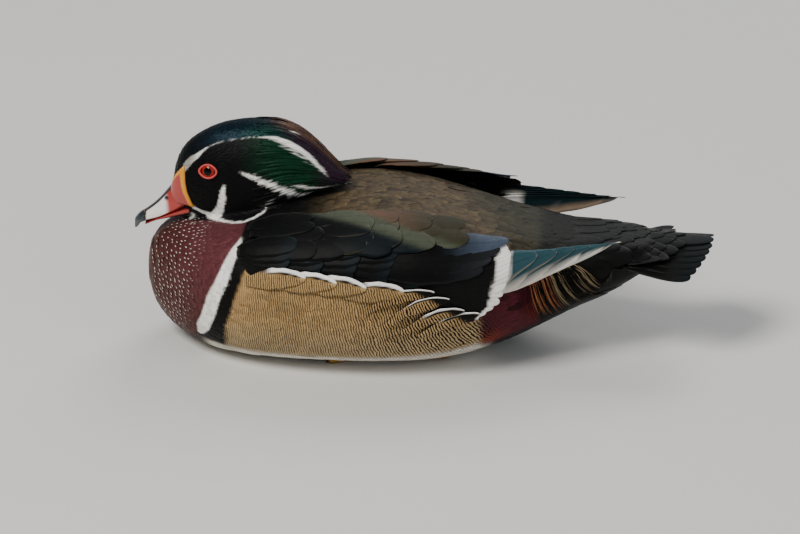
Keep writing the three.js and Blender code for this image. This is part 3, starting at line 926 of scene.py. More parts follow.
@dataclass
class Tract:
    """A stretch of small overlapping feathers laid in staggered rows over a form and down onto the skin."""

    form: Form
    growth: Growth
    start: float
    end: float
    seed: int
    covers: Callable[[Array, Array], Array]
    lie: Callable[[Array], Array]
    paint: Callable[[Array], Array]
    weave: Callable[[Array], Array] | None = None
    size: Callable[[Array], Array] | None = None
    spread: float = 0.07
    # How dark each feather's root is painted: painted shade where it lies under the feather before.
    painted_root_shade: float = 0.8

    def roots(self, skin: Skin) -> tuple[Array, Array]:
        """Where the feathers are rooted on the skin.

        Args:
            skin: The fused skin.

        Returns:
            The roots and the skin's normals there.
        """
        growth = self.growth
        rng = np.random.default_rng(self.seed)
        places = []
        turns = np.linspace(0, 360, RING_STEPS)
        for k, x in enumerate(np.arange(self.start, self.end, growth.row)):
            ring = self.form.point(np.full(RING_STEPS, x), turns, 1.0)
            run = np.concatenate([[0], np.cumsum(np.linalg.norm(np.diff(ring, axis=0), axis=1))])
            count = max(6, int(run[-1] / growth.pitch))
            strayed = rng.uniform(-growth.jitter, growth.jitter, count)
            at = (np.arange(count) + 0.5 * (k % 2) + strayed) / count
            angle = np.interp((at % 1.0) * run[-1], run, turns)
            station = x + rng.uniform(-growth.jitter, growth.jitter, count) * growth.row
            places.append(np.stack([station, angle], axis=-1))
        spots = np.concatenate(places)
        wrapped = np.where(spots[:, 1] > 180, 360 - spots[:, 1], spots[:, 1])
        outer = self.form.point(spots[:, 0], wrapped, 1.0)
        outer[:, 1] *= np.where(spots[:, 1] > 180, -1.0, 1.0)
        keep = self.covers(spots[:, 0], wrapped) & (outer[:, 2] > ROOT_FLOOR)
        outer = outer[keep]
        roots, normals = skin.settle(outer)
        away = np.einsum("ij,ij->i", outer - roots, normals)
        near = (np.linalg.norm(outer - roots, axis=1) < ROOT_REACH) & (away > -0.6)
        return roots[near], normals[near]

    def grow(self, batch: Batch, skin: Skin) -> int:
        """Adds the tract's feathers to a piece.

        Args:
            batch: The piece that takes them.
            skin: The skin that they lie on.

        Returns:
            How many feathers there are.
        """
        growth = self.growth
        roots, normals = self.roots(skin)
        rng = np.random.default_rng(self.seed + 1)
        count = len(roots)
        scale = self.size(roots) if self.size else np.ones(count)
        length = growth.length * scale * rng.uniform(0.85, 1.15, count)
        width = growth.width * scale * rng.uniform(0.88, 1.12, count)
        heading = self.lie(roots) + rng.normal(0, 0.05, (count, 3))
        steps = np.linspace(0, 1, growth.rows) ** 0.85
        arch = np.sin(np.pi * np.clip(0.16 + 0.62 * steps, 0, 1))
        shares = arch * (1 - ramp(steps, 0.7, 1.06)) ** growth.point
        spine, ups = [], []
        place, up, previous = roots, normals, 0.0
        for s in steps:
            flat = unit(heading - up * np.einsum("ij,ij->i", heading, up)[:, None])
            place = place + flat * (length * (s - previous))[:, None]
            if s > 0:
                place, up = skin.settle(place)
            previous = s
            spine.append(place)
            ups.append(up)
        spine_points = np.stack(spine, 1)
        normals_along = np.stack(ups, 1)
        run = np.gradient(spine_points, axis=1)
        beside = unit(np.cross(normals_along, run))
        v = np.linspace(-1, 1, growth.columns)
        twist = rng.normal(0, 0.06, count)
        half = 0.5 * width[:, None] * shares[None, :]
        lift = growth.lift + growth.rise * steps[None, :] ** 1.2 * rng.uniform(0.7, 1.3, count)[:, None]
        curl = growth.camber * half[:, :, None] * (v**2)[None, None, :]
        height = lift[:, :, None] - curl + (twist[:, None] * half)[:, :, None] * v[None, None, :]
        points = (
            spine_points[:, :, None, :]
            + beside[:, :, None, :] * (half[:, :, None] * v[None, None, :])[..., None]
            + normals_along[:, :, None, :] * height[..., None]
        )
        points[..., 2] = np.maximum(points[..., 2], FEATHER_FLOOR)
        cells = grid_quads(growth.rows, growth.columns)
        stride = growth.rows * growth.columns
        quads = (cells[None] + (np.arange(count) * stride)[:, None, None]).reshape(-1, 4)
        tint = self.paint(points.reshape(-1, 3)).reshape(count, growth.rows, growth.columns, 4)
        # Darker toward the root and a little brighter at the tip: painted shade where each feather lies
        # under the one before, times each feather's own random tone.
        root_shade_ramp = mix(self.painted_root_shade, 1.08, steps)[None, :, None, None]
        shade = rng.normal(1.0, self.spread, count)[:, None, None, None] * root_shade_ramp
        tint = np.concatenate([np.clip(tint[..., :3] * shade, 0, 1), tint[..., 3:]], axis=-1)
        vane = rows_of((v[None, :] + 1) / 2, steps[:, None])
        bake = bake_place(roots)[:, None, None, :] + (vane[None] - 0.5) * 0.003
        vane = np.broadcast_to(vane[None], (count, growth.rows, growth.columns, 2))
        weave = None
        if self.weave:
            weave = self.weave(points.reshape(-1, 3)).reshape(count, growth.rows, growth.columns, 3)
            for i in (0, 2):
                weave[..., i] = np.mean(weave[..., i], axis=(1, 2), keepdims=True)
        batch.add(points, quads, tint, vane, bake, weave)
        return count


class Tone(Enum):
    """The bird's colours."""

    FOREHEAD = 0x05080B
    CROWN = 0x081C26
    CROWN_GREEN = 0x0A3028
    CHEEK = 0x020203
    EAR_GREEN = 0x0A321F
    CREST_PURPLE = 0x2C1C2A
    BROW_GREY = 0x9A968E
    CREST_BRONZE = 0x7A5634
    WHITE = 0xF1EEE8
    BREAST = 0x4C2620
    BREAST_PURPLE = 0x5C3034
    BAR_BLACK = 0x060606
    FLANK = 0xAB8B5C
    FLANK_LOW = 0xB79E75
    BELLY = 0xE4DDD0
    SHOULDER_BLACK = 0x050606
    MANTLE = 0x50432F
    MANTLE_OLIVE = 0x302E20
    RUMP = 0x0E0F0B
    TAIL = 0x090B09
    UNDERTAIL = 0x0E0B09
    PATCH = 0x4F1A24
    PATCH_LOW = 0x7D2F1D
    OLIVE = 0x454A3C
    BRONZE = 0x5E4637
    EDGE_BROWN = 0x6E6656
    TEAL_BLACK = 0x0B1418
    TERTIAL_BLUE = 0x424C5C
    TERTIAL_GREY = 0x1D1F22
    PRIMARY_TEAL = 0x28464D
    PALE_EDGE = 0xBFAE9C
    # Painted shade: the silver edge as it looks on the shaded right wing.
    FAR_EDGE = 0x84715F
    PLUME_ORANGE = 0xCF8355
    PLUME_PALE = 0xB09A74
    PLUME_BLACK = 0x0A0806
    EYEBALL = 0x2A0606
    LID = 0xC8453F
    LID_FOLD = 0x8E2320
    BILL_RED = 0xA5322A
    BILL_DARK = 0x6E1B19
    BILL_WHITE = 0xE9E3DD
    BILL_YELLOW = 0xDE9416
    BILL_BLACK = 0x121214
    # Painted shade inside the nostrils.
    NOSTRIL = 0x0B0505
    NAIL_TIP = 0x3C4448
    NAIL = 0x15181A
    LOWER_RED = 0x9C3028
    LOWER_BLACK = 0x100B0C
    WEB = 0x3A2F22
    TOE = 0xB98A35
    CLAW = 0x17130F
    SHANK = 0xA87C30

    @property
    def rgb(self) -> Array:
        """The colour in linear light."""
        return tone(self.value)


def near_path(places: Array, path: Sequence[Sequence[float]], soft: float = 0.35) -> Array:
    """How far places lie within a painted line, on either side of the bird.

    Args:
        places: Points in millimetres.
        path: Rows of X, Y, Z and width in millimetres, along the left side.
        soft: Width of the line's blurred edge.

    Returns:
        1 inside the line and 0 away from it.
    """
    rows = np.asarray(path, float)
    spots = places * np.array([1.0, 0.0, 1.0])
    spots[:, 1] = -np.abs(places[:, 1])
    best = np.zeros(len(places))
    for first, second in zip(rows, rows[1:]):
        run = second[:3] - first[:3]
        t = np.clip((spots - first[:3]) @ run / max(run @ run, 1e-6), 0, 1)
        distance = np.linalg.norm(spots - first[:3] - t[:, None] * run, axis=1)
        half = 0.5 * (first[3] + (second[3] - first[3]) * t)
        best = np.maximum(best, 1 - ramp(distance, half - soft, half + soft))
    return best


Path = tuple[tuple[float, float, float, float], ...]
Marks = tuple[tuple[float, float], ...]


@dataclass(frozen=True)
class HeadMarks:
    """The white lines of the head's left side, as rows of X, Y, Z and width."""

    brow: Path = (
        (-133.4, -12.2, 112.6, 2.6),
        (-131.5, -12.6, 116.0, 4.6),
        (-128.7, -13.0, 119.8, 4.4),
        (-124.3, -13.5, 123.2, 3.0),
        (-120.5, -13.3, 126.8, 1.3),
        (-116.8, -13.1, 129.5, 0.8),
        (-111.2, -13.3, 132.1, 0.8),
        (-102.5, -13.6, 134.4, 0.6),
        (-91.4, -13.6, 136.4, 0.6),
        (-82.2, -13.5, 136.6, 0.9),
        (-76.0, -13.7, 135.9, 2.6),
        (-68.6, -13.9, 133.2, 3.8),
        (-61.8, -13.8, 129.4, 3.8),
        (-55.1, -13.3, 124.1, 3.4),
        (-49.6, -13.2, 118.2, 2.6),
        (-44.8, -12.5, 112.1, 1.7),
        (-41.5, -11.2, 108.4, 0.5),
    )
    brow_streak: Path = (
        (-71.0, -8.5, 138.9, 0.5),
        (-64.5, -7.0, 137.3, 1.7),
        (-57.5, -6.3, 132.7, 0.4),
    )
    low_streak: Path = (
        (-71.0, -15.6, 131.6, 0.8),
        (-62.5, -15.6, 126.8, 1.8),
        (-54.5, -15.0, 119.8, 0.4),
    )
    stripe: Path = (
        (-97.5, -21.2, 115.9, 0.8),
        (-92.1, -21.8, 113.9, 2.4),
        (-85.9, -22.1, 111.5, 3.0),
        (-79.8, -21.7, 108.9, 3.2),
        (-73.1, -20.8, 106.0, 3.8),
        (-66.6, -18.2, 102.6, 3.8),
        (-60.9, -14.4, 99.8, 3.0),
        (-54.0, -10.0, 98.8, 1.8),
        (-47.0, -7.4, 99.8, 0.6),
    )
    wisp: Path = (
        (-66.0, -19.0, 107.4, 1.0),
        (-60.0, -17.2, 106.4, 2.0),
        (-55.7, -15.3, 104.9, 2.6),
        (-48.5, -12.1, 104.2, 2.4),
        (-39.5, -9.4, 105.0, 1.8),
        (-29.5, -4.6, 104.8, 1.2),
    )
    strap: Path = (
        (-127.2, -13.2, 88.6, 2.2),
        (-120.9, -14.8, 85.5, 3.2),
        (-115.8, -16.4, 84.6, 4.0),
        (-109.7, -21.6, 84.8, 3.4),
        (-101.6, -27.5, 85.9, 3.0),
        (-94.0, -29.4, 87.6, 3.0),
        (-87.4, -27.0, 89.6, 3.0),
        (-82.9, -22.6, 91.4, 2.8),
        (-80.1, -20.0, 94.1, 2.4),
        (-78.8, -20.6, 97.8, 1.0),
    )
    bar: Path = (
        (-112.7, -17.2, 85.2, 6.4),
        (-109.9, -19.4, 90.4, 5.0),
        (-108.4, -21.0, 97.1, 4.0),
        (-107.9, -21.4, 102.6, 3.4),
        (-107.3, -21.4, 106.2, 1.8),
    )
    bill_edge: Marks = (
        (55, -132.6),
        (72, -132.1),
        (83, -131.8),
        (95.6, -130.6),
        (108, -128.8),
        (121, -126.9),
    )

    def arcs(self, path: Path, x: Array) -> Array:
        """The angles round the head's section of a line, read at the stations x."""
        rows = np.asarray(path, float)
        return np.interp(x, rows[:, 0], head_form.angle_at(rows[:, :3]))

    def jowl(self, places: Array) -> Array:
        """The share of the cheek that lies over the breast, inside the strap.

        Args:
            places: Points in millimetres.

        Returns:
            Shares from 0 to 1.
        """
        rows = np.asarray(self.strap, float)
        reach = np.interp(places[:, 0], rows[:, 0], -rows[:, 1], left=0, right=0)
        return ramp(np.abs(places[:, 1]) - reach, 0.8, -0.2) * ramp(places[:, 2], 76, 80)

    def white(self, places: Array) -> Array:
        """The share of white at each place."""
        lines = (self.brow, self.brow_streak, self.low_streak, self.stripe, self.wisp, self.strap, self.bar)
        return np.maximum.reduce([near_path(places, line) for line in lines])

    def tint(self, places: Array) -> Array:
        """The head's colour and gloss.

        Args:
            places: Points in millimetres on or near the head.

        Returns:
            Rows of red, green, blue and gloss.
        """
        x = places[:, 0]
        arc = head_form.angle_at(places)
        brow_arc = self.arcs(self.brow, x)
        stripe_arc = self.arcs(self.stripe, x)
        colour = mix(Tone.FOREHEAD.rgb, Tone.CROWN.rgb, ramp(x, -134, -108))
        colour = mix(colour, Tone.CROWN_GREEN.rgb, ramp(x, -104, -80) * ramp(arc, 4, 28) * 0.85)
        gloss = 0.35 + 0.65 * ramp(x, -130, -105)
        rear = ramp(x - 0.3 * (arc - 36), -76, -58)
        streak = 0.5 + 0.5 * np.sin(arc * 1.3 + np.sin(x * 0.12) * 3)
        streaked = mix(Tone.CREST_PURPLE.rgb, Tone.CREST_BRONZE.rgb, streak * ramp(arc, 30, 8) * 0.8)
        colour = mix(colour, streaked, rear)
        below = ramp(arc - brow_arc, -1.5, 1.5)
        green = ramp(x, -104, -66) * ramp(arc - stripe_arc, 3, -8)
        cheek = mix(Tone.CHEEK.rgb, Tone.EAR_GREEN.rgb, green)
        colour = mix(colour, cheek, below)
        gloss = mix(gloss, 0.05 + 0.9 * green, below)
        end = ramp(x, -56, -44) * below
        colour = mix(colour, Tone.CREST_PURPLE.rgb, end * 0.7)
        chin = ramp(arc, 146, 154) * ramp(x, -110, -114) * ramp(x, -131, -128)
        dull = ramp(x, -122, -129) * ramp(arc, 80, 60)
        pale = mix(Tone.WHITE.rgb, Tone.BROW_GREY.rgb, dull)
        white = np.maximum(self.white(places), chin)
        return painted(mix(colour, pale, white), x.shape, gloss * (1 - white))


@dataclass(frozen=True)
class TrunkMarks:
    """Where the trunk's colours meet, as stations and degrees round the section."""

    bar: Marks = (
        (20, -92),
        (38.9, -95),
        (56.1, -100.5),
        (77.2, -106.4),
        (92.8, -112.8),
        (108.8, -117.6),
        (125, -121),
    )
    bar_width: Marks = ((36, 0.5), (46, 5.5), (80, 8.5), (112, 8.0), (122, 3.0))
    black_end: Marks = ((30, -84), (43.9, -86.5), (57.6, -89), (79.3, -94.8), (102, -103))
    flank_top: Marks = (
        (-100.5, 57.8),
        (-91.9, 64),
        (-57.2, 66),
        (-25.7, 72),
        (11.5, 77),
        (29.8, 88.4),
        (52.7, 101.7),
        (62, 112),
    )

    def zones(self, places: Array) -> dict[str, Array]:
        """The share of each zone at each place.

        Args:
            places: Points in millimetres on or near the trunk.

        Returns:
            Shares from 0 to 1 by the zone's name.
        """
        x = places[:, 0]
        arc = trunk_form.angle_at(places)
        line = read(self.bar, arc)
        half = 0.5 * read(self.bar_width, arc, left=0, right=0)
        end = read(self.black_end, arc)
        top = read(self.flank_top, x)
        behind = ramp(x - line, -1, 1)
        low = ramp(arc, 124, 132)
        belly = np.maximum(low * ramp(x, -122, -112), ramp(arc, 150, 160))
        return {
            "breast": 1 - behind,
            "bar": (1 - ramp(np.abs(x - line), half - 0.6, half + 0.6)) * (half > 0.2),
            "black": behind * (1 - ramp(x - end, -1, 1)) * (1 - low),
            "flank": ramp(x - end, -1, 1) * ramp(arc - top, -1.5, 1.5) * (1 - low) * ramp(x, 66, 58),
            "belly": belly * ramp(x, 66, 50) * ramp(x, -138, -120),
            "patch": ramp(x, 50, 56) * ramp(x, 90, 84) * ramp(arc, 76, 84) * ramp(arc, 140, 128),
            "rear": ramp(x, 84, 92) + ramp(x, 52, 64) * ramp(arc, 124, 136),
            "back": ramp(x, -62, -30) * ramp(arc, 62, 50),
        }

    def tint(self, places: Array) -> Array:
        """The trunk's colour and gloss.

        Args:
            places: Points in millimetres on or near the trunk.

        Returns:
            Rows of red, green, blue and gloss.
        """
        x, y, _ = places.T
        arc = trunk_form.angle_at(places)
        zone = self.zones(places)
        purple = ramp(x, -150, -118) * ramp(arc, 118, 70)
        breast = mix(Tone.BREAST.rgb, Tone.BREAST_PURPLE.rgb, purple)
        breast = mix(breast, Tone.SHOULDER_BLACK.rgb, ramp(x + 0.35 * arc, -86, -70) * 0.75)
        colour = mix(Tone.SHOULDER_BLACK.rgb, breast, zone["breast"])
        gloss = 0.35 * zone["breast"] + 0.3
        mantle = mix(Tone.MANTLE.rgb, Tone.MANTLE_OLIVE.rgb, ramp(x + 0.4 * y, 30, 75))
        mantle = mix(mantle, Tone.RUMP.rgb, ramp(x, 70, 130))
        colour = mix(colour, mantle, zone["back"])
        gloss = mix(gloss, 0.2, zone["back"])
        colour = mix(colour, Tone.BAR_BLACK.rgb, zone["black"])
        flank = mix(Tone.FLANK.rgb, Tone.FLANK_LOW.rgb, ramp(arc, 88, 118))
        colour = mix(colour, flank, zone["flank"])
        colour = mix(colour, Tone.BELLY.rgb, zone["belly"])
        rear = mix(Tone.RUMP.rgb, Tone.UNDERTAIL.rgb, ramp(arc, 70, 110))
        colour = mix(colour, rear, np.clip(zone["rear"], 0, 1))
        patch = mix(Tone.PATCH.rgb, Tone.PATCH_LOW.rgb, ramp(arc, 108, 128) * ramp(x, 74, 56))
        colour = mix(colour, patch, zone["patch"])
        colour = mix(colour, Tone.WHITE.rgb, zone["bar"])
        pale = np.clip(zone["bar"] + zone["flank"] + zone["belly"], 0, 1)
        return painted(colour, x.shape, np.clip(gloss * (1 - pale), 0, 1))

    def weave(self, places: Array) -> Array:
        """The flank's fine bars and the breast's pale flecks.

        Args:
            places: Points in millimetres on or near the trunk.

        Returns:
            Rows of the share of bars, their phase and the share of the fleck.
        """
        x, _, z = places.T
        arc = trunk_form.angle_at(places)
        zone = self.zones(places)
        front = ramp(x + 0.12 * arc, -113, -124) * ramp(arc, 150, 138)
        flecks = zone["breast"] * front * (1 - on_head(places))
        strength = mix(0.72, 1.0, ramp(x, -50, 20))
        return np.stack([zone["flank"] * strength, bar_phase(x, z), flecks], axis=-1)


def bar_phase(x: Array, z: Array) -> Array:
    """The phase of the flank's fine bars, which grow wider and lean over towards the rear.

    Args:
        x: Stations along the bird.
        z: Heights in millimetres.

    Returns:
        The phases, in bars.
    """
    t = (x + 100.0) / 160.0
    count = 160.0 * (0.78 * t - 0.165 * t * t)
    return count + (z - 45.0) * (0.06 + 0.26 * np.clip(t, 0, 1) ** 2)


BILL_ROOT = np.array([-152.0, 0.0, 96.0])
CREST_TIP = np.array([-24.0, 0.0, 101.0])
head_marks = HeadMarks()
trunk_marks = TrunkMarks()


def on_head(places: Array) -> Array:
    """The share of the head at places near the join of head and trunk.

    Args:
        places: Points in millimetres.

    Returns:
        Shares from 0 to 1.
    """
    x, y, z = places.T
    width, _, middle, low = head_form.at(x)
    inside = (np.abs(y) / (width + 2.5)) ** 2 + ((z - middle) / (middle - low + 3)) ** 2
    head = np.where((x > -142) & (x < -30), np.where(z > middle, 1.0, ramp(inside, 1.3, 1.05)), 0.0)
    return np.maximum(head, np.maximum(head_marks.jowl(places), near_path(places, head_marks.strap)))


def body_tint(places: Array) -> Array:
    """The skin's colour and gloss anywhere on the bird."""
    share = on_head(places)[:, None]
    return head_marks.tint(places) * share + trunk_marks.tint(places) * (1 - share)


def head_lie(places: Array) -> Array:
    """The lie of the head's feathers: back from the bill's root, then in to the crest's tips.

    Args:
        places: Points in millimetres.

    Returns:
        One direction for each place.
    """
    away = unit(places - BILL_ROOT)
    gather = unit(CREST_TIP - places)
    share = ramp(places[:, 0], -112, -66)[:, None]
    return away * (1 - share) + gather * share


def trunk_lie(places: Array) -> Array:
    """The lie of the trunk's feathers: down and outwards over the breast, then back to the tail.

    Args:
        places: Points in millimetres.

    Returns:
        One direction for each place.
    """
    x, y, z = places.T
    front = ramp(x, -118, -150)
    lower = ramp(z, 70, 30)
    down = -0.75 * front + 0.16 * ramp(x, -90, -30) * lower
    out = np.sign(y) * 0.35 * front
    return np.stack([np.ones_like(x), out, down], axis=-1)


@dataclass(frozen=True)
class EyePlace:
    """Where the eye sits on the head, as the solids have it."""

    x: float = -117.0
    z: float = 115.0
    radius: float = 6.4
    sunk: float = 4.9
    lid_radius: float = 5.3
    lid_thickness: float = 1.1
    lid_out: float = 1.2

    @property
    def arc(self) -> float:
        """The angle at which the head's section is as high as the eye.

        Returns:
            The angle in degrees.
        """
        angles = np.arange(20, 120, 0.25)
        heights = head_form.point(np.full(len(angles), self.x), angles, 1.0)[:, 2]
        return float(angles[np.argmax(heights <= self.z)])

    def frame(self, side: Side) -> tuple[Array, Array, Array, Array]:
        """The eye's place on the head, its outward axis and two directions across it.

        Args:
            side: The side of the bird.

        Returns:
            The place and three unit vectors.
        """
        x, arc = np.array([self.x]), np.array([self.arc])
        place = head_form.point(x, arc, side.value)[0]
        axis = head_form.normal(x, arc, side.value)[0]
        back = unit(np.array([1.0, 0.0, 0.0]) - axis * axis[0])
        return place, axis, back, np.cross(axis, back)


EYE = EyePlace()


@dataclass(frozen=True)
class HeadPlumage:
    """The short fine feathers of the head, smallest round the bill and the eye."""

    seed: int = SEED
    growth: Growth = Growth(1.55, 1.7, 5.6, 2.1, rise=0.35, lift=0.05, rows=5, columns=3)
    finish: PlumeFinish = PlumeFinish("head_plumage", 0.45, 0.27, 8.0, 0.3, 0.2, 0.0)

    def build(self, skin: Skin) -> None:
        """Grows the feathers in one piece.

        Args:
            skin: The fused skin.
        """
        batch = Batch()
        tract = Tract(
            form=head_form, growth=self.growth, start=-141, end=-48, seed=self.seed, covers=self._covers,
            lie=head_lie, paint=body_tint, size=self._size,
        )
        count = tract.grow(batch, skin)
        LOG.info("head: %d feathers", count)
        batch.build("head_plumage", self.finish.make(), Slot.HEAD)

    @staticmethod
    def _size(places: Array) -> Array:
        """The feathers' share of full size, smallest at the bill and largest on the crest."""
        return 0.5 + 0.5 * ramp(places[:, 0], -140, -108) + 0.5 * ramp(places[:, 0], -90, -60)

    @staticmethod
    def _covers(x: Array, arc: Array) -> Array:
        """Leaves out the eye and the bill's root.

        Args:
            x: Stations along the bird.
            arc: Degrees round the section.

        Returns:
            Whether a feather grows at each place.
        """
        eye = np.hypot(x - EYE.x, (arc - EYE.arc) * 0.36) > 4.6
        bill = (arc > 56) & (x < read(head_marks.bill_edge, arc) + 0.3)
        return eye & ~bill


@dataclass(frozen=True)
class BodyPlumage:
    """The contour feathers of the breast, back, flanks, belly and rump."""

    breast: Growth = Growth(2.7, 2.9, 8.0, 5.2, rise=0.4, rows=7, columns=5)
    back: Growth = Growth(4.6, 4.8, 14.5, 8.6, rise=0.4, rows=8, columns=5)
    flank: Growth = Growth(4.2, 5.0, 16.0, 10.5, rise=0.35, lift=0.35, rows=8, columns=7)
    belly: Growth = Growth(5.2, 5.4, 13.0, 9.0, rise=0.3, rows=5, columns=5)
    rump: Growth = Growth(4.8, 4.6, 17.0, 8.6, rise=0.45, rows=8, columns=5)

    def build(self, skin: Skin) -> None:
        """Grows each tract in a piece of its own.

        Args:
            skin: The fused skin.
        """
        self._tract(skin, "breast_plumage", self.breast, (-157, -86), self._breast, Slot.BREAST, 11)
        self._tract(skin, "back_plumage", self.back, (-98, 72), self._back, Slot.BACK, 12)
        self._tract(skin, "flank_plumage", self.flank, (-106, 62), self._flank, Slot.FLANK, 13)
        self._tract(skin, "belly_plumage", self.belly, (-118, 66), self._belly, Slot.BREAST, 14)
        self._tract(skin, "rump_plumage", self.rump, (50, 158), self._rump, Slot.BACK, 15)

    def _tract(
        self, skin: Skin, name: str, growth: Growth, span: tuple[float, float],
        covers: Callable[[Array, Array], Array], slot: Slot, seed: int,
    ) -> None:
        """Grows one tract.

        Args:
            skin: The skin.
            name: The piece's name.
            growth: How its feathers grow.
            span: Its first and last stations.
            covers: Which places it takes.
            slot: The slot of its finish.
            seed: The seed of its scatter.
        """
        batch = Batch()
        tract = Tract(
            form=trunk_form, growth=growth, start=span[0], end=span[1], seed=SEED + seed, covers=covers,
            lie=trunk_lie, paint=body_tint, weave=trunk_marks.weave,
            spread=0.17 if name == "back_plumage" else 0.07,
            # Painted shade at the feathers' roots, deepest on the back, where it also gives each feather a
            # dark base.
            painted_root_shade=0.2 if name == "back_plumage" else 0.8,
        )
        count = tract.grow(batch, skin)
        LOG.info("%s: %d feathers", name, count)
        finish = PlumeFinish(
            name, roughness=0.6, barbs=12.0,
            mottle={"back_plumage": 1.8, "flank_plumage": 0.25}.get(name, 0.4),
            edge={"back_plumage": 0.55, "breast_plumage": 0.1}.get(name, 0.0),
        )
        batch.build(name, finish.make(), slot)

    @staticmethod
    def _breast(x: Array, arc: Array) -> Array:
        """In front of the white bar."""
        return x < read(trunk_marks.bar, arc) + 8

    @staticmethod
    def _back(x: Array, arc: Array) -> Array:
        """Above the flank and behind the white bar."""
        top = read(trunk_marks.flank_top, x)
        return (x > read(trunk_marks.bar, arc) + 6) & (arc < top + 4)

    @staticmethod
    def _flank(x: Array, arc: Array) -> Array:
        """Below the wing, down to the belly."""
        top = read(trunk_marks.flank_top, x)
        return (x > read(trunk_marks.bar, arc) + 2) & (arc > top - 1) & (arc < 134)

    @staticmethod
    def _belly(x: Array, arc: Array) -> Array:
        """The belly, without the flat that it rests on."""
        return arc > 130

    @staticmethod
    def _rump(x: Array, arc: Array) -> Array:
        """Behind the flank, all round."""
        return (x > 66) | (arc > 96)


class Outline(Enum):
    """A vane's outline: its share of width at the root, where its tip starts to close, and how bluntly."""

    ROUND = (0.5, 0.62, 2.1)
    LONG = (0.5, 0.4, 1.9)
    HAIR = (0.55, 0.15, 1.2)

    def share(self, s: Array) -> Array:
        """The share of the full width at each share of the length.

        Args:
            s: Shares of the length.

        Returns:
            Shares of the full width.
        """
        base, closing, blunt = self.value
        rise = base + (1 - base) * ramp(s, 0.0, 0.42)
        t = np.clip((s - closing) / (1 - closing), 0, 1)
        return rise * np.maximum(1 - t**blunt, 0.0) ** (1 / blunt) * 0.97 + 0.03


@dataclass(frozen=True)
class Pattern:
    """How one long feather is coloured."""

    base: Tone
    tip: Tone | None = None
    tip_start: float = 0.5
    stripe: Tone | None = None
    stripe_width: float = 0.0
    stripe_side: float = -1.0
    rim: Tone | None = None
    rim_width: float = 0.0
    gloss: float = 0.3
    bars: float = 0.0

    def tint(self, s: Array, v: Array, length: float, half: Array, ground: Array | None = None) -> Array:
        """The colour and gloss over a vane.

        Args:
            s: Share of the length from the root.
            v: Place across, from -1 on the upper edge to 1 on the lower.
            length: The vane's length in millimetres.
            half: Half of the width in millimetres at each place.
            ground: Colours and gloss that take the place of the base.

        Returns:
            Rows of red, green, blue and gloss.
        """
        colour = np.broadcast_to(self.base.rgb, (*s.shape, 3))
        gloss = np.full(s.shape, self.gloss)
        if ground is not None:
            colour, gloss = ground[..., :3], ground[..., 3]
        if self.tip:
            colour = mix(colour, self.tip.rgb, ramp(s, self.tip_start - 0.2, self.tip_start + 0.2))
        if self.rim:
            end = np.maximum((1 - s) * length, 1e-3)
            beside = np.maximum((1 - np.abs(v)) * half, 1e-3)
            edge = np.minimum(end, beside + 0.3)
            share = ramp(edge, self.rim_width + 0.35, self.rim_width - 0.2)
            share = share * (0.85 * ramp(v, -0.95, -0.6))
            colour = mix(colour, self.rim.rgb, share)
            gloss = gloss * (1 - share)
        if self.stripe:
            depth = (1 - self.stripe_side * v) * half
            inside = ramp(s, 0.3, 0.45) * ramp(self.stripe_side * v, -0.1, 0.2)
            dark = ramp(depth, self.stripe_width + 1.9, self.stripe_width + 1.3) * inside
            colour = mix(colour, Tone.BAR_BLACK.rgb, dark)
            share = ramp(depth, self.stripe_width + 0.3, self.stripe_width - 0.3) * inside
            colour = mix(colour, self.stripe.rgb, share)
            gloss = gloss * (1 - share)
        return np.concatenate([colour, gloss[..., None]], axis=-1)


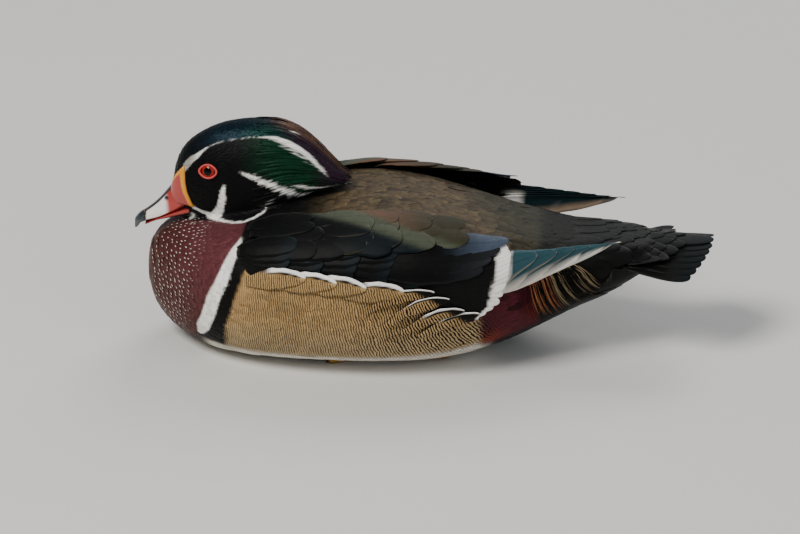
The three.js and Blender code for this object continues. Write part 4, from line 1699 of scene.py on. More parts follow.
@dataclass(frozen=True)
class Blade:
    """One long feather laid on a form, from a root sunk in the coat to a free tip."""

    root: tuple[float, float]
    tip: tuple[float, float]
    width: float
    lift: tuple[float, float]
    outline: Outline = Outline.ROUND
    tilt: float = 0.9
    crown: float = 0.35
    bow: float = 0.0
    ease: float = 0.35
    thickness: float = 0.26
    rows: int = 20
    columns: int = 9

    def lay(
        self, batch: Batch, form: Form, side: Side, pattern: Pattern, rng: np.random.Generator,
        ground: Callable[[Array], Array] | None = None,
    ) -> None:
        """Adds the feather to a piece.

        Args:
            batch: The piece.
            form: What it lies on.
            side: The side of the bird.
            pattern: How it is coloured.
            rng: Gives its small unevenness.
            ground: Gives the colours of the ground that it carries on, by their places.
        """
        s = 1 - (1 - np.linspace(0, 1, self.rows)) ** 1.5
        v = np.linspace(-1, 1, self.columns)
        share = self.outline.share(s)
        x = mix(self.root[0], self.tip[0], s)
        middle = mix(self.root[1], self.tip[1], s) + self.bow * np.sin(np.pi * s)
        above = form.point(x, middle - 1, 1.0)
        below = form.point(x, middle + 1, 1.0)
        per_degree = np.linalg.norm(below - above, axis=-1) / 2
        half = 0.5 * self.width * share
        wave = 1 + 0.035 * np.sin(s[:, None] * rng.uniform(18, 30) + v[None, :] * 4 + rng.uniform(0, 6))
        angle = middle[:, None] + v[None, :] * (half / per_degree)[:, None] * wave
        swell = share[:, None] * (self.crown * (1 - v**2) + 0.5 * self.tilt * v)[None, :]
        ripple = 0.05 * np.sin(s[:, None] * 40 + v[None, :] * 9 + rng.uniform(0, 6)) * np.abs(v)[None, :]
        height = mix(self.lift[0], self.lift[1], s**self.ease)[:, None] + swell + ripple
        stations = np.broadcast_to(x[:, None], angle.shape)
        top = form.lifted(stations, angle, side.value, height)
        under = form.lifted(stations, angle, side.value, height - self.thickness)
        length = float(np.linalg.norm(top[-1, self.columns // 2] - top[0, self.columns // 2]))
        self._add(batch, side, top, under, s, v, length, half, pattern, rng, ground)

    @staticmethod
    def _add(
        batch: Batch, side: Side, top: Array, under: Array, s: Array, v: Array, length: float,
        half: Array, pattern: Pattern, rng: np.random.Generator,
        ground: Callable[[Array], Array] | None = None,
    ) -> None:
        """Adds a thin closed vane between two grids of points.

        Args:
            batch: The piece.
            side: The side of the bird.
            top: The grid of the outer face.
            under: The grid of the inner face.
            s: Shares of the length, one for each row.
            v: Places across, one for each column.
            length: The vane's length.
            half: Half widths, one for each row.
            pattern: How it is coloured.
            rng: Gives its small unevenness.
            ground: Gives the colours of the ground that it carries on, by their places.
        """
        down, across = np.broadcast_arrays(s[:, None], v[None, :])
        widths = np.broadcast_to(half[:, None], down.shape)
        below = ground(top.reshape(-1, 3)).reshape(*down.shape, 4) if ground else None
        tint = pattern.tint(down, across, length, widths, below)
        tint[..., :3] *= rng.normal(1.0, 0.07)
        vane = np.stack([(across + 1) / 2, down], axis=-1)
        bake = bake_place(top.reshape(-1, 3)[:1])[0] + (vane - 0.5) * 0.006
        weave = np.zeros((*down.shape, 3))
        if pattern.bars:
            flat = top.reshape(-1, 3)
            edge = (1 - pattern.stripe_side * across) * widths
            outside = ramp(edge, pattern.stripe_width + 2.2, pattern.stripe_width + 1.2)
            clear = outside * ramp(down, 0.3, 0.45)
            weave[..., 0] = pattern.bars * (1 - clear if pattern.stripe else 1.0)
            weave[..., 1] = bar_phase(flat[:, 0], flat[:, 2]).reshape(down.shape)
        quads = shell_quads(len(s), len(v), flip=side is Side.LEFT)
        both = [np.stack([a, a]) for a in (tint, vane, bake, weave)]
        batch.add(np.stack([top, under]), quads, *both)


def shell_quads(rows: int, columns: int, flip: bool) -> Array:
    """Faces of a thin closed shell between an outer grid and an inner one that follows it.

    Args:
        rows: Rows of each grid.
        columns: Columns of each grid.
        flip: Whether the faces are turned over.

    Returns:
        Rows of four point numbers.
    """
    outer = grid_quads(rows, columns)
    size = rows * columns
    inner = outer[:, ::-1] + size
    top = np.arange(columns)
    bottom = top[::-1] + (rows - 1) * columns
    left = np.arange(rows - 1, -1, -1) * columns
    right = np.arange(rows) * columns + columns - 1
    rim = np.concatenate([top[:-1], right[:-1], bottom[:-1], left[:-1]])
    following = np.roll(rim, -1)
    walls = np.stack([rim, following, following + size, rim + size], axis=-1)
    quads = np.concatenate([outer, inner, walls])
    return quads[:, ::-1] if flip else quads


def tier(count: int, each: Callable[[float, int], Blade]) -> list[Blade]:
    """A row of blades, each made from its share of the way along the row and its number."""
    return [each(i / max(count - 1, 1), i) for i in range(count)]


@dataclass(frozen=True)
class Wing:
    """One folded wing: primaries, secondaries, tertials, five rows of coverts and the arm under them."""

    side: Side

    PRIMARY: ClassVar[Pattern] = Pattern(Tone.PRIMARY_TEAL, gloss=0.3, rim=Tone.PALE_EDGE, rim_width=0.25)
    BAND: ClassVar[tuple[tuple[float, ...], ...]] = (
        (0.0, 0.2, 0.6, 0.8, 1.0),
        (69.0, 72.0, 70.4, 65.0, 53.2),
        (50.0, 60.0, 86.0, 97.0, 102.0),
    )
    BAND_WIDTH: ClassVar[tuple[float, ...]] = (7.5, 8.5, 8.5, 7.0, 2.0)
    SECONDARY: ClassVar[Pattern] = Pattern(Tone.BAR_BLACK, gloss=0.2)

    def build(self) -> None:
        """Lays the feathers in one piece that takes the place of the wing's node."""
        batch = Batch()
        rng = np.random.default_rng(SEED + 31 + int(self.side.value))
        self._arm(batch)
        for blades, pattern in (
            (self._primaries(), self.PRIMARY),
            (self._secondaries(), self.SECONDARY),
            (self._coverts(), Pattern(Tone.BAR_BLACK, Tone.TEAL_BLACK, 0.8, gloss=0.3)),
            (self._tertials(), None),
        ):
            for i, blade in enumerate(blades):
                ground = self._ground if pattern in (self.PRIMARY, self.SECONDARY) else None
                blade.lay(batch, wing_form, self.side, pattern or self._tertial(i), rng, ground)
        finish = PlumeFinish(f"wing_{self.side.word}_plumage", 0.5, 0.27, 46.0, 0.3, 0.5, 0.1)
        piece = batch.build(f"wing_{self.side.word}_vanes", finish.make(), Slot.WING)
        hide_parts(f"wing_{self.side.word}")

    def _ground(self, places: Array) -> Array:
        """Black with the white band over the secondaries, and teal with a silver edge behind it; on the
        right wing, painted shade dims the teal and turns the edge brownish grey, and the band is left off
        the upper part.

        Args:
            places: Points on the feathers.

        Returns:
            Rows of red, green, blue and gloss.
        """
        x = places[:, 0]
        angle = wing_form.angle_at(places)
        places_down = self.BAND[2]
        end = np.interp(angle, places_down, self.BAND[1])
        start = end - np.interp(angle, places_down, self.BAND_WIDTH)
        low = np.interp(x, (70, 85, 106, 126, 139), (89.5, 90.5, 89.0, 89.5, 86.0))
        silver = ramp(angle - low, -0.8, 0.8) * ramp(x - end, -1, 1)
        white = np.maximum(silver, ramp(x - start, -0.5, 0.5) * ramp(x - end, 1.2, 0.4))
        teal = ramp(x - end, 0.4, 1.2)
        # On the right wing the teal is dimmed and the silver edge turned brownish grey, as painted shade;
        # the white band is left off its upper part.
        far_shaded = self.side is Side.RIGHT
        if far_shaded:
            white = np.maximum(silver, white * ramp(angle, 64, 76))
        pale = mix(Tone.WHITE.rgb, Tone.FAR_EDGE.rgb, silver * far_shaded)
        dark = mix(Tone.BAR_BLACK.rgb, Tone.PRIMARY_TEAL.rgb, teal * (0.35 if far_shaded else 1.0))
        return painted(mix(dark, pale, white), x.shape, 0.4 * teal * (1 - white))

    @staticmethod
    def _tertial(i: int) -> Pattern:
        """The colours of a tertial, by its number from the top.

        Args:
            i: Its number.

        Returns:
            The colours.
        """
        if i == 0:
            return Pattern(Tone.BAR_BLACK, Tone.TERTIAL_BLUE, 0.7, gloss=0.5)
        rim = Tone.TERTIAL_GREY
        return Pattern(Tone.BAR_BLACK, Tone.TERTIAL_GREY, 0.8, gloss=0.3, rim=rim, rim_width=0.3)

    def _arm(self, batch: Batch) -> None:
        """The arm: a dark panel that closes the ground between the feathers' roots.

        Args:
            batch: The piece that takes it.
        """
        s, v = np.linspace(0, 1, 28), np.linspace(-1, 1, 11)
        x = mix(-88, 44, s)
        upper = 47.5 + 5 * s
        lower = 68 + 22 * s**2.6
        angle = upper[:, None] + (lower - upper)[:, None] * (v[None, :] + 1) / 2
        stations = np.broadcast_to(x[:, None], angle.shape)
        height = np.full(angle.shape, -2.2)
        top = wing_form.lifted(stations, angle, self.side.value, height)
        under = wing_form.lifted(stations, angle, self.side.value, height - 4)
        rng = np.random.default_rng(SEED)
        half = np.full(len(s), 20.0)
        Blade._add(batch, self.side, top, under, s, v, 132.0, half, Pattern(Tone.BAR_BLACK), rng)

    @staticmethod
    def _primaries() -> list[Blade]:
        """The outermost primary is the longest and lies innermost.

        Returns:
            The feathers.
        """
        return tier(
            6,
            lambda t, i: Blade(
                root=(24, mix(68, 84, t)), tip=(mix(88, 139, t**0.9), mix(66, 76, t)),
                width=mix(22, 15, t), lift=(-1.7 - 0.8 * i, -1.0 - 0.8 * i), outline=Outline.LONG,
                tilt=0.25, bow=mix(6, 3, t), rows=28,
            ),
        )

    def _secondaries(self) -> list[Blade]:
        """The secondaries fan down the rear edge of the arm, the upper ones over the lower.

        Returns:
            The feathers.
        """
        return tier(
            15,
            lambda t, i: Blade(
                root=(mix(-6, 6, t), mix(56, 78, t)),
                tip=(float(np.interp(t, *self.BAND[:2])), float(np.interp(t, self.BAND[0], self.BAND[2]))),
                width=12, lift=(-3.2, mix(2.0, 0.6, t)), tilt=0.3, crown=0.2, rows=24, columns=11,
            ),
        )

    @staticmethod
    def _tertials() -> list[Blade]:
        """Four long tertials, the uppermost glossed blue.

        Returns:
            The feathers.
        """
        return tier(
            4,
            lambda t, i: Blade(
                root=(-16, mix(52, 65, t)), tip=(mix(70, 55, t), mix(46, 72, t)), width=mix(18, 16, t),
                lift=(-3.0, mix(3.8, 2.8, t)), outline=Outline.LONG, tilt=0.3, crown=0.4, rows=26,
                columns=11,
            ),
        )

    @staticmethod
    def _coverts() -> list[Blade]:
        """Five rows of coverts, the hindmost the longest, over the roots of the secondaries.

        Returns:
            The feathers.
        """
        return [
            Blade(
                root=(mix(-18, -12, t) - 20 * row, mix(56, 70, t) - 2.2 * row),
                tip=(mix(24, 16, t) - 20.5 * row, mix(57, 82, t) - 2.6 * row), width=15,
                lift=(-3.0, mix(1.6, 0.6, t)), tilt=0.15, crown=0.1, rows=16, columns=7,
            )
            for row in range(5)
            for t in (0.0, 0.25, 0.5, 0.75, 1.0)
        ]


@dataclass(frozen=True)
class Shoulder:
    """The bronze and olive scapulars of one side."""

    side: Side
    rows: int = 6
    across: int = 5

    def build(self) -> None:
        """Lays the feathers, rear rows first, in one piece."""
        batch = Batch()
        rng = np.random.default_rng(SEED + 41 + int(self.side.value))
        for row in reversed(range(self.rows)):
            for i in range(self.across):
                t = (i + 0.5 * (row % 2)) / (self.across - 0.5)
                pattern = self._pattern(rng)
                self._blade(row, t, rng).lay(batch, wing_form, self.side, pattern, rng, self._ground)
        name = f"scapulars_{self.side.word}"
        finish = PlumeFinish(f"{name}_plumage", 0.55, 0.36, 30.0, 0.7, 0.3, 0.1)
        piece = batch.build(f"{name}_vanes", finish.make(), Slot.SCAPULARS)
        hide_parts(name)

    def _blade(self, row: int, t: float, rng: np.random.Generator) -> Blade:
        """One scapular, by its row and its share of the way down.

        Args:
            row: Its row, from the front.
            t: The share of the way along.
            rng: Gives the small unevenness.

        Returns:
            The feather.
        """
        share = row / (self.rows - 1)
        x = mix(-86, 2, share) + rng.uniform(-4, 4) - 5 * abs(t - 0.5)
        angle = mix(mix(26, 27, share), mix(50, 44, share), t) + rng.uniform(-1.2, 1.2)
        return Blade(
            root=(x, angle - 1), tip=(x + rng.uniform(37, 44), angle + mix(0, 4.5, t)),
            width=rng.uniform(14.5, 18),
            lift=(-1.8, mix(1.6, 3.3, ramp(share, 0.1, 0.5)) + rng.uniform(-0.3, 0.5)),
            outline=Outline.LONG if rng.random() < 0.5 else Outline.ROUND, tilt=0.35, crown=0.45,
            ease=0.5, rows=16, columns=9,
        )

    @staticmethod
    def _pattern(rng: np.random.Generator) -> Pattern:
        """A thin pale edge on some feathers only."""
        rim = Tone.EDGE_BROWN if rng.random() < 0.45 else None
        return Pattern(Tone.OLIVE, rim=rim, rim_width=0.12)

    @staticmethod
    def _ground(places: Array) -> Array:
        """Olive along a slanting band, brown and soft above its front, and black below it.

        Args:
            places: Points on the feathers.

        Returns:
            Rows of red, green, blue and gloss.
        """
        x = places[:, 0]
        angle = wing_form.angle_at(places)
        off = angle - (24 + 0.42 * (x + 28))
        olive = ramp(off, 10, 4) * ramp(x, -66, -44)
        brown = ramp(off, -2, -8) * ramp(x, -88, -70)
        black = mix(Tone.SHOULDER_BLACK.rgb, Tone.TEAL_BLACK.rgb, ramp(x, -40, 0))
        colour = mix(black, Tone.OLIVE.rgb, olive)
        soft = mix(Tone.BRONZE.rgb, Tone.MANTLE_OLIVE.rgb, ramp(x, -20, 30))
        colour = mix(colour, soft, brown)
        return painted(colour, x.shape, 0.3 * (1 - brown))


@dataclass(frozen=True)
class FlankEdge:
    """The barred feathers of the flank's upper edge, tipped white and black, that lie over the wing."""

    side: Side

    def build(self) -> None:
        """Lays the feathers in one piece that takes the place of the flank's node."""
        batch = Batch()
        rng = np.random.default_rng(SEED + 51 + int(self.side.value))
        edged = Pattern(Tone.FLANK, stripe=Tone.WHITE, stripe_width=2.5, bars=0.8)
        lined = Pattern(Tone.FLANK, stripe=Tone.WHITE, stripe_width=0.7, bars=1.0)
        for blade in self._edging():
            blade.lay(batch, wing_form, self.side, edged, rng, trunk_marks.tint)
        for blade in self._rear():
            blade.lay(batch, wing_form, self.side, lined, rng, trunk_marks.tint)
        name = f"flank_{self.side.word}"
        finish = PlumeFinish(f"{name}_plumage", 0.62, barbs=26.0)
        piece = batch.build(f"{name}_vanes", finish.make(), Slot.FLANK)
        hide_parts(name)

    @staticmethod
    def _edging() -> list[Blade]:
        """Long feathers that lie along the edge, each showing the white of its upper margin.

        Returns:
            The feathers.
        """
        tops = trunk_marks.flank_top
        return [
            Blade(
                root=(end - 38, float(read(tops, end - 38)) + 11),
                tip=(end, float(read(tops, end)) + 4.7), width=13, lift=(-0.8, 1.7), outline=Outline.LONG,
                tilt=-0.2, crown=0.3, bow=-1.5, ease=0.7, rows=26, columns=13,
            )
            for end in (-52, -33, -15, 8)
        ]

    @staticmethod
    def _rear() -> list[Blade]:
        """Narrow dark feathers with a fine white line that close the flank behind.

        Returns:
            The feathers.
        """
        return tier(
            4,
            lambda t, i: Blade(
                root=(mix(-16, 16, t), mix(90, 104, t)), tip=(mix(26, 53, t), mix(84, 99, t)), width=8.0,
                lift=(-0.6, 2.2), outline=Outline.LONG, tilt=-0.2, bow=-3.0, ease=0.7, rows=26,
                columns=13,
            ),
        )


@dataclass(frozen=True)
class RumpPlumes:
    """The long loose feathers that hang beside the rump, orange above and black below."""

    side: Side
    count: int = 260

    @staticmethod
    def _pattern(t: float, rng: np.random.Generator) -> Pattern:
        """Maroon in front, then orange, pale and black ones, by the share of the way back.

        Args:
            t: The share of the way along.
            rng: Gives the small unevenness.

        Returns:
            The colours.
        """
        if t < 0.12:
            return Pattern(Tone.PATCH, Tone.PATCH_LOW, 0.6, gloss=0.2)
        if rng.random() < mix(0.5, 0.05, t):
            pale = Tone.PLUME_ORANGE if t < 0.42 else Tone.PLUME_PALE
            return Pattern(pale, Tone.PLUME_BLACK, 1.05, gloss=0.1)
        return Pattern(Tone.PLUME_BLACK, gloss=0.2)

    def build(self) -> None:
        """Lays fine locks in one piece."""
        batch = Batch()
        rng = np.random.default_rng(SEED + 61 + int(self.side.value))
        for i in range(self.count):
            t = float(np.clip((i + rng.uniform(-0.6, 0.6)) / self.count, 0, 1))
            start = (mix(74, 112, t) + rng.uniform(-1, 1), rng.uniform(70, 80))
            reach = rng.uniform(0.75, 1.0)
            blade = Blade(
                root=start,
                tip=(start[0] + mix(10, 20, t) * reach, mix(start[1], mix(132, 116, t), reach)),
                width=rng.uniform(0.45, 1.0), lift=(0.4, rng.uniform(0.9, 2.2)), outline=Outline.HAIR,
                tilt=0.0, crown=0.12, bow=rng.uniform(-0.4, 0.4), thickness=0.18, rows=14, columns=3,
            )
            blade.lay(batch, trunk_form, self.side, self._pattern(t, rng), rng)
        name = f"plumes_{self.side.word}"
        finish = PlumeFinish(f"{name}_plumage", 0.55, barbs=6.0)
        piece = batch.build(f"{name}_vanes", finish.make(), Slot.PLUMES)
        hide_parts(name)


@dataclass(frozen=True)
class Tail:
    """The tail fan: crossed middle feathers, pairs beside and under them, and coverts over their roots."""

    pairs: int = 7
    root: float = 116.0
    tip: float = 194.3
    corner: float = 0.75
    root_width: float = 21.0
    tip_width: float = 33.0
    root_height: float = 73.0
    tip_height: float = 73.6
    fall: float = 12.0
    feather_width: float = 14.5
    pitch: float = 0.45

    def build(self) -> None:
        """Lays the fan in one piece."""
        batch = Batch()
        rng = np.random.default_rng(SEED + 71)
        for side in Side:
            for i in range(self.pairs):
                self._feather(batch, side, i, rng)
        self._coverts(batch, rng)
        finish = PlumeFinish("tail_plumage", 0.5, 0.32, 44.0, 0.35, 0.4, 0.15)
        piece = batch.build("tail_vanes", finish.make(), Slot.TAIL)
        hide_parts("tail")

    def _roof(self, u: Array, v: Array, down: Array | float) -> Array:
        """A point of the fan.

        Args:
            u: Share of the way from the root to the tip.
            v: Share of the half width, with its sign.
            down: Depth under the fan's roof.

        Returns:
            Rows of X, Y and Z.
        """
        wide = mix(self.root_width, self.tip_width, np.sin(np.minimum(u, 1) * np.pi / 2))
        drop = mix(self.fall * 0.5, self.fall, u) * np.abs(v) ** 1.5
        height = mix(self.root_height, self.tip_height, u) - drop - down
        return rows_of(mix(self.root, self.tip, u), wide * v, height)

    def _feather(self, batch: Batch, side: Side, i: int, rng: np.random.Generator) -> None:
        """Adds one tail feather, by its number out from the middle.

        Args:
            batch: The piece that takes it.
            side: The side of the bird.
            i: Its number.
            rng: Gives the small unevenness.
        """
        end = 1 - self.corner * i**1.6 / (self.tip - self.root)
        level = 0 if i == 0 and side is Side.LEFT else i + 1
        s = 1 - (1 - np.linspace(0, 1, 26)) ** 1.5
        v = np.linspace(-1, 1, 11)
        share = Outline.ROUND.share(s)
        half = 0.5 * self.feather_width * share
        middle = (0.12 + 0.145 * i) * side.value * mix(0.8, 1.0, s)
        u = mix(0.1, end, s)[:, None]
        across = middle[:, None] + v[None, :] * (half / self.tip_width)[:, None]
        down = self.pitch * level + 0.2 + 0.3 * v[None, :] ** 2
        top = self._roof(np.broadcast_to(u, across.shape), across, down)
        under = self._roof(np.broadcast_to(u, across.shape), across, down + 0.28)
        pattern = Pattern(Tone.TAIL, Tone.TEAL_BLACK, 0.9, gloss=0.3)
        Blade._add(batch, Side.RIGHT, top, under, s, v, 70.0, half, pattern, rng)

    def _deck(self, x: Array, y: Array, side: float) -> Array:
        """The height of the rump and the fan taken together, from above or from below.

        Args:
            x: Stations.
            y: Distances from the middle.
            side: 1 for the upper face and -1 for the lower.

        Returns:
            The heights.
        """
        width, top, middle, low = trunk_form.at(x)
        arch = np.maximum(1 - (np.abs(y) / np.maximum(width, 1)) ** 2.5, 0) ** 0.4
        u = (x - self.root) / (self.tip - self.root)
        wide = mix(self.root_width, self.tip_width, np.sin(np.clip(u, 0, 1) * np.pi / 2))
        drop = mix(self.fall * 0.5, self.fall, np.clip(u, 0, 1)) * np.minimum(np.abs(y) / wide, 1.1) ** 1.5
        fan = mix(self.root_height, self.tip_height, u) - drop
        if side > 0:
            return np.maximum(middle + (top - middle) * arch, fan)
        return np.minimum(middle - (middle - low) * arch, fan - self.pitch * self.pairs)

    def _coverts(self, batch: Batch, rng: np.random.Generator) -> None:
        """Adds rows of coverts over and under the fan's root, so that rump and fan run into one.

        Args:
            batch: The piece that takes it.
            rng: Gives the small unevenness.
        """
        s = 1 - (1 - np.linspace(0, 1, 18)) ** 1.4
        v = np.linspace(-1, 1, 7)
        pattern = Pattern(Tone.RUMP, Tone.TAIL, 0.6, gloss=0.3)
        half = 6.5 * Outline.LONG.share(s)
        for side in (1.0, -1.0):
            for row in range(6):
                for k in range(9):
                    spot = -1 + 2 * (k + 0.5 * (row % 2) + rng.uniform(-0.15, 0.15)) / 8.5
                    start = 96 + 8.5 * row + rng.uniform(-4, 4)
                    end = start + 37 + rng.uniform(-2, 2) - 6 * abs(spot)
                    x = mix(start, end, s)
                    middle = spot * mix(mix(26, 17, row / 5), mix(22, 27, row / 5), s)
                    y = middle[:, None] + v[None, :] * half[:, None]
                    stations = np.broadcast_to(x[:, None], y.shape)
                    rise = (-3.2 + 3.6 * s**0.6)[:, None] + 0.3 * (1 - v**2)[None, :]
                    top = self._deck(stations, y, side) + side * rise
                    outer = np.stack([stations, y, top], axis=-1)
                    inner = np.stack([stations, y, top - side * 0.25], axis=-1)
                    face = Side.RIGHT if side > 0 else Side.LEFT
                    Blade._add(batch, face, outer, inner, s, v, 37.0, half, pattern, rng)


@dataclass(frozen=True)
class Crest:
    """The long silky feathers of the crown's rear that lie together in a drooping crest."""

    count: int = 700

    def build(self) -> None:
        """Lays fine locks over the hood in one piece."""
        batch = Batch()
        rng = np.random.default_rng(SEED + 81)
        for i in range(self.count):
            side = Side.LEFT if i % 2 else Side.RIGHT
            start = rng.uniform(-92, -50)
            arc = 3 + 160 * rng.random() ** 1.1
            end = min(start + rng.uniform(24, 44), rng.uniform(-40, -29.5))
            blade = self._lock(start, arc, end, rng)
            blade.lay(batch, head_form, side, Pattern(Tone.CREST_PURPLE), rng, head_marks.tint)
        finish = PlumeFinish("crest_plumage", 0.45, 0.27, 8.0, 0.3, 0.25, 0.1)
        piece = batch.build("crest_vanes", finish.make(), Slot.CREST)
        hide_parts("crest")

    @staticmethod
    def _lock(start: float, arc: float, end: float, rng: np.random.Generator) -> Blade:
        """One lock, by its root and the station of its tip.

        Args:
            start: The station of its root.
            arc: Degrees round the section.
            end: The station of its tip.
            rng: Gives the small unevenness.

        Returns:
            The feather.
        """
        drift = ramp(start, -100, -60) * 6
        return Blade(
            root=(start, arc), tip=(end, arc + drift + rng.uniform(-4, 4)), width=rng.uniform(1.3, 2.8),
            lift=(-0.9, rng.uniform(0.1, 1.0)), outline=Outline.HAIR, tilt=0.1, crown=0.2, thickness=0.18,
            rows=12, columns=5,
        )


@dataclass(frozen=True)
class Eye:
    """One eye: a wet ball with an iris, and the red ring of bare skin round it."""

    side: Side
    rings: int = 40
    turns: int = 64
    lid_turns: int = 96
    lid_sides: int = 16
    lid_folds: int = 29

    def build(self) -> None:
        """Makes the eyeball and the eyelid."""
        self._ball()
        self._lid()

    def _ball(self) -> None:
        """The eyeball, a little bulged over the iris."""
        place, axis, back, up = EYE.frame(self.side)
        centre = place - axis * EYE.sunk
        polar = np.linspace(0.001, np.pi * 0.999, self.rings)[:, None]
        turn = circle(self.turns)[None, :]
        out = np.sin(polar) * np.ones_like(turn)
        bulge = 1 + 0.02 * ramp(out, 0.75, 0.3) * (polar < np.pi / 2)
        points = centre + EYE.radius * bulge[..., None] * (
            axis * (np.cos(polar) * np.ones_like(turn))[..., None]
            + back * (out * np.cos(turn))[..., None]
            + up * (out * np.sin(turn))[..., None]
        )
        reach = np.where(polar < np.pi / 2, out * EYE.radius / (EYE.lid_radius * 0.86), 1.0)
        vane = np.stack([np.clip(reach, 0, 1), np.broadcast_to(turn / (2 * np.pi), out.shape)], axis=-1)
        batch = Batch()
        bake = Patch.EYE.value + EYE_PATCH * vane
        quads = grid_quads(self.rings, self.turns, closed=True)
        quads = quads if self.side is Side.RIGHT else quads[:, ::-1]
        batch.add(points, quads, painted(Tone.EYEBALL.rgb, out.shape), vane, bake)
        finish = EyeFinish(f"eye_{self.side.word}_wet")
        piece = batch.build(f"eye_{self.side.word}_ball", finish.make(), Slot.EYE)
        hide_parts(f"eye_{self.side.word}")

    def _lid(self) -> None:
        """The red ring, with fine folds across it."""
        place, axis, back, up = EYE.frame(self.side)
        centre = place + axis * (EYE.lid_out - EYE.lid_thickness * 0.6)
        turn = circle(self.lid_turns)[:, None]
        round_ = circle(self.lid_sides)[None, :]
        folds = 1 + 0.07 * np.sin(turn * self.lid_folds) + 0.05 * np.sin(turn * 13 + 1)
        thick = 0.72 * folds * np.ones_like(round_)
        corner = 1 + 0.13 * np.abs(np.cos(turn)) ** 8
        reach = (EYE.lid_radius - 0.55) * corner + thick * np.cos(round_)
        points = (
            centre
            + back * (1.04 * reach * np.cos(turn))[..., None]
            + up * (0.88 * reach * np.sin(turn))[..., None]
            + axis * (thick * np.sin(round_) - 0.1)[..., None]
        )
        shape = thick.shape
        fold = np.clip(0.5 + 0.5 * np.sin(turn * self.lid_folds) * np.ones(shape), 0, 1)
        colour = mix(Tone.LID.rgb, Tone.LID_FOLD.rgb, fold * 0.4)
        vane = rows_of(turn / (2 * np.pi), round_ / (2 * np.pi))
        batch = Batch()
        tint = painted(colour, shape)
        rows, columns = self.lid_turns, self.lid_sides
        quads = np.concatenate([grid_quads(rows, columns, closed=True), self._seam(rows, columns)])
        batch.add(points, quads, tint, vane, Patch.LID.value + vane * EYE_PATCH)
        finish = HornFinish(f"eyelid_{self.side.word}_skin", 0.5, 1400.0, 0.0001, 0.15)
        piece = batch.build(f"eyelid_{self.side.word}_ring", finish.make(), Slot.LID)
        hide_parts(f"eyelid_{self.side.word}")

    @staticmethod
    def _seam(rows: int, columns: int) -> Array:
        """Faces that close a ring of rings.

        Args:
            rows: How many rings there are.
            columns: Points in each ring.

        Returns:
            Rows of four point numbers.
        """
        j = np.arange(columns)
        k = (j + 1) % columns
        last = (rows - 1) * columns
        return np.stack([last + j, j, k, last + k], axis=-1)


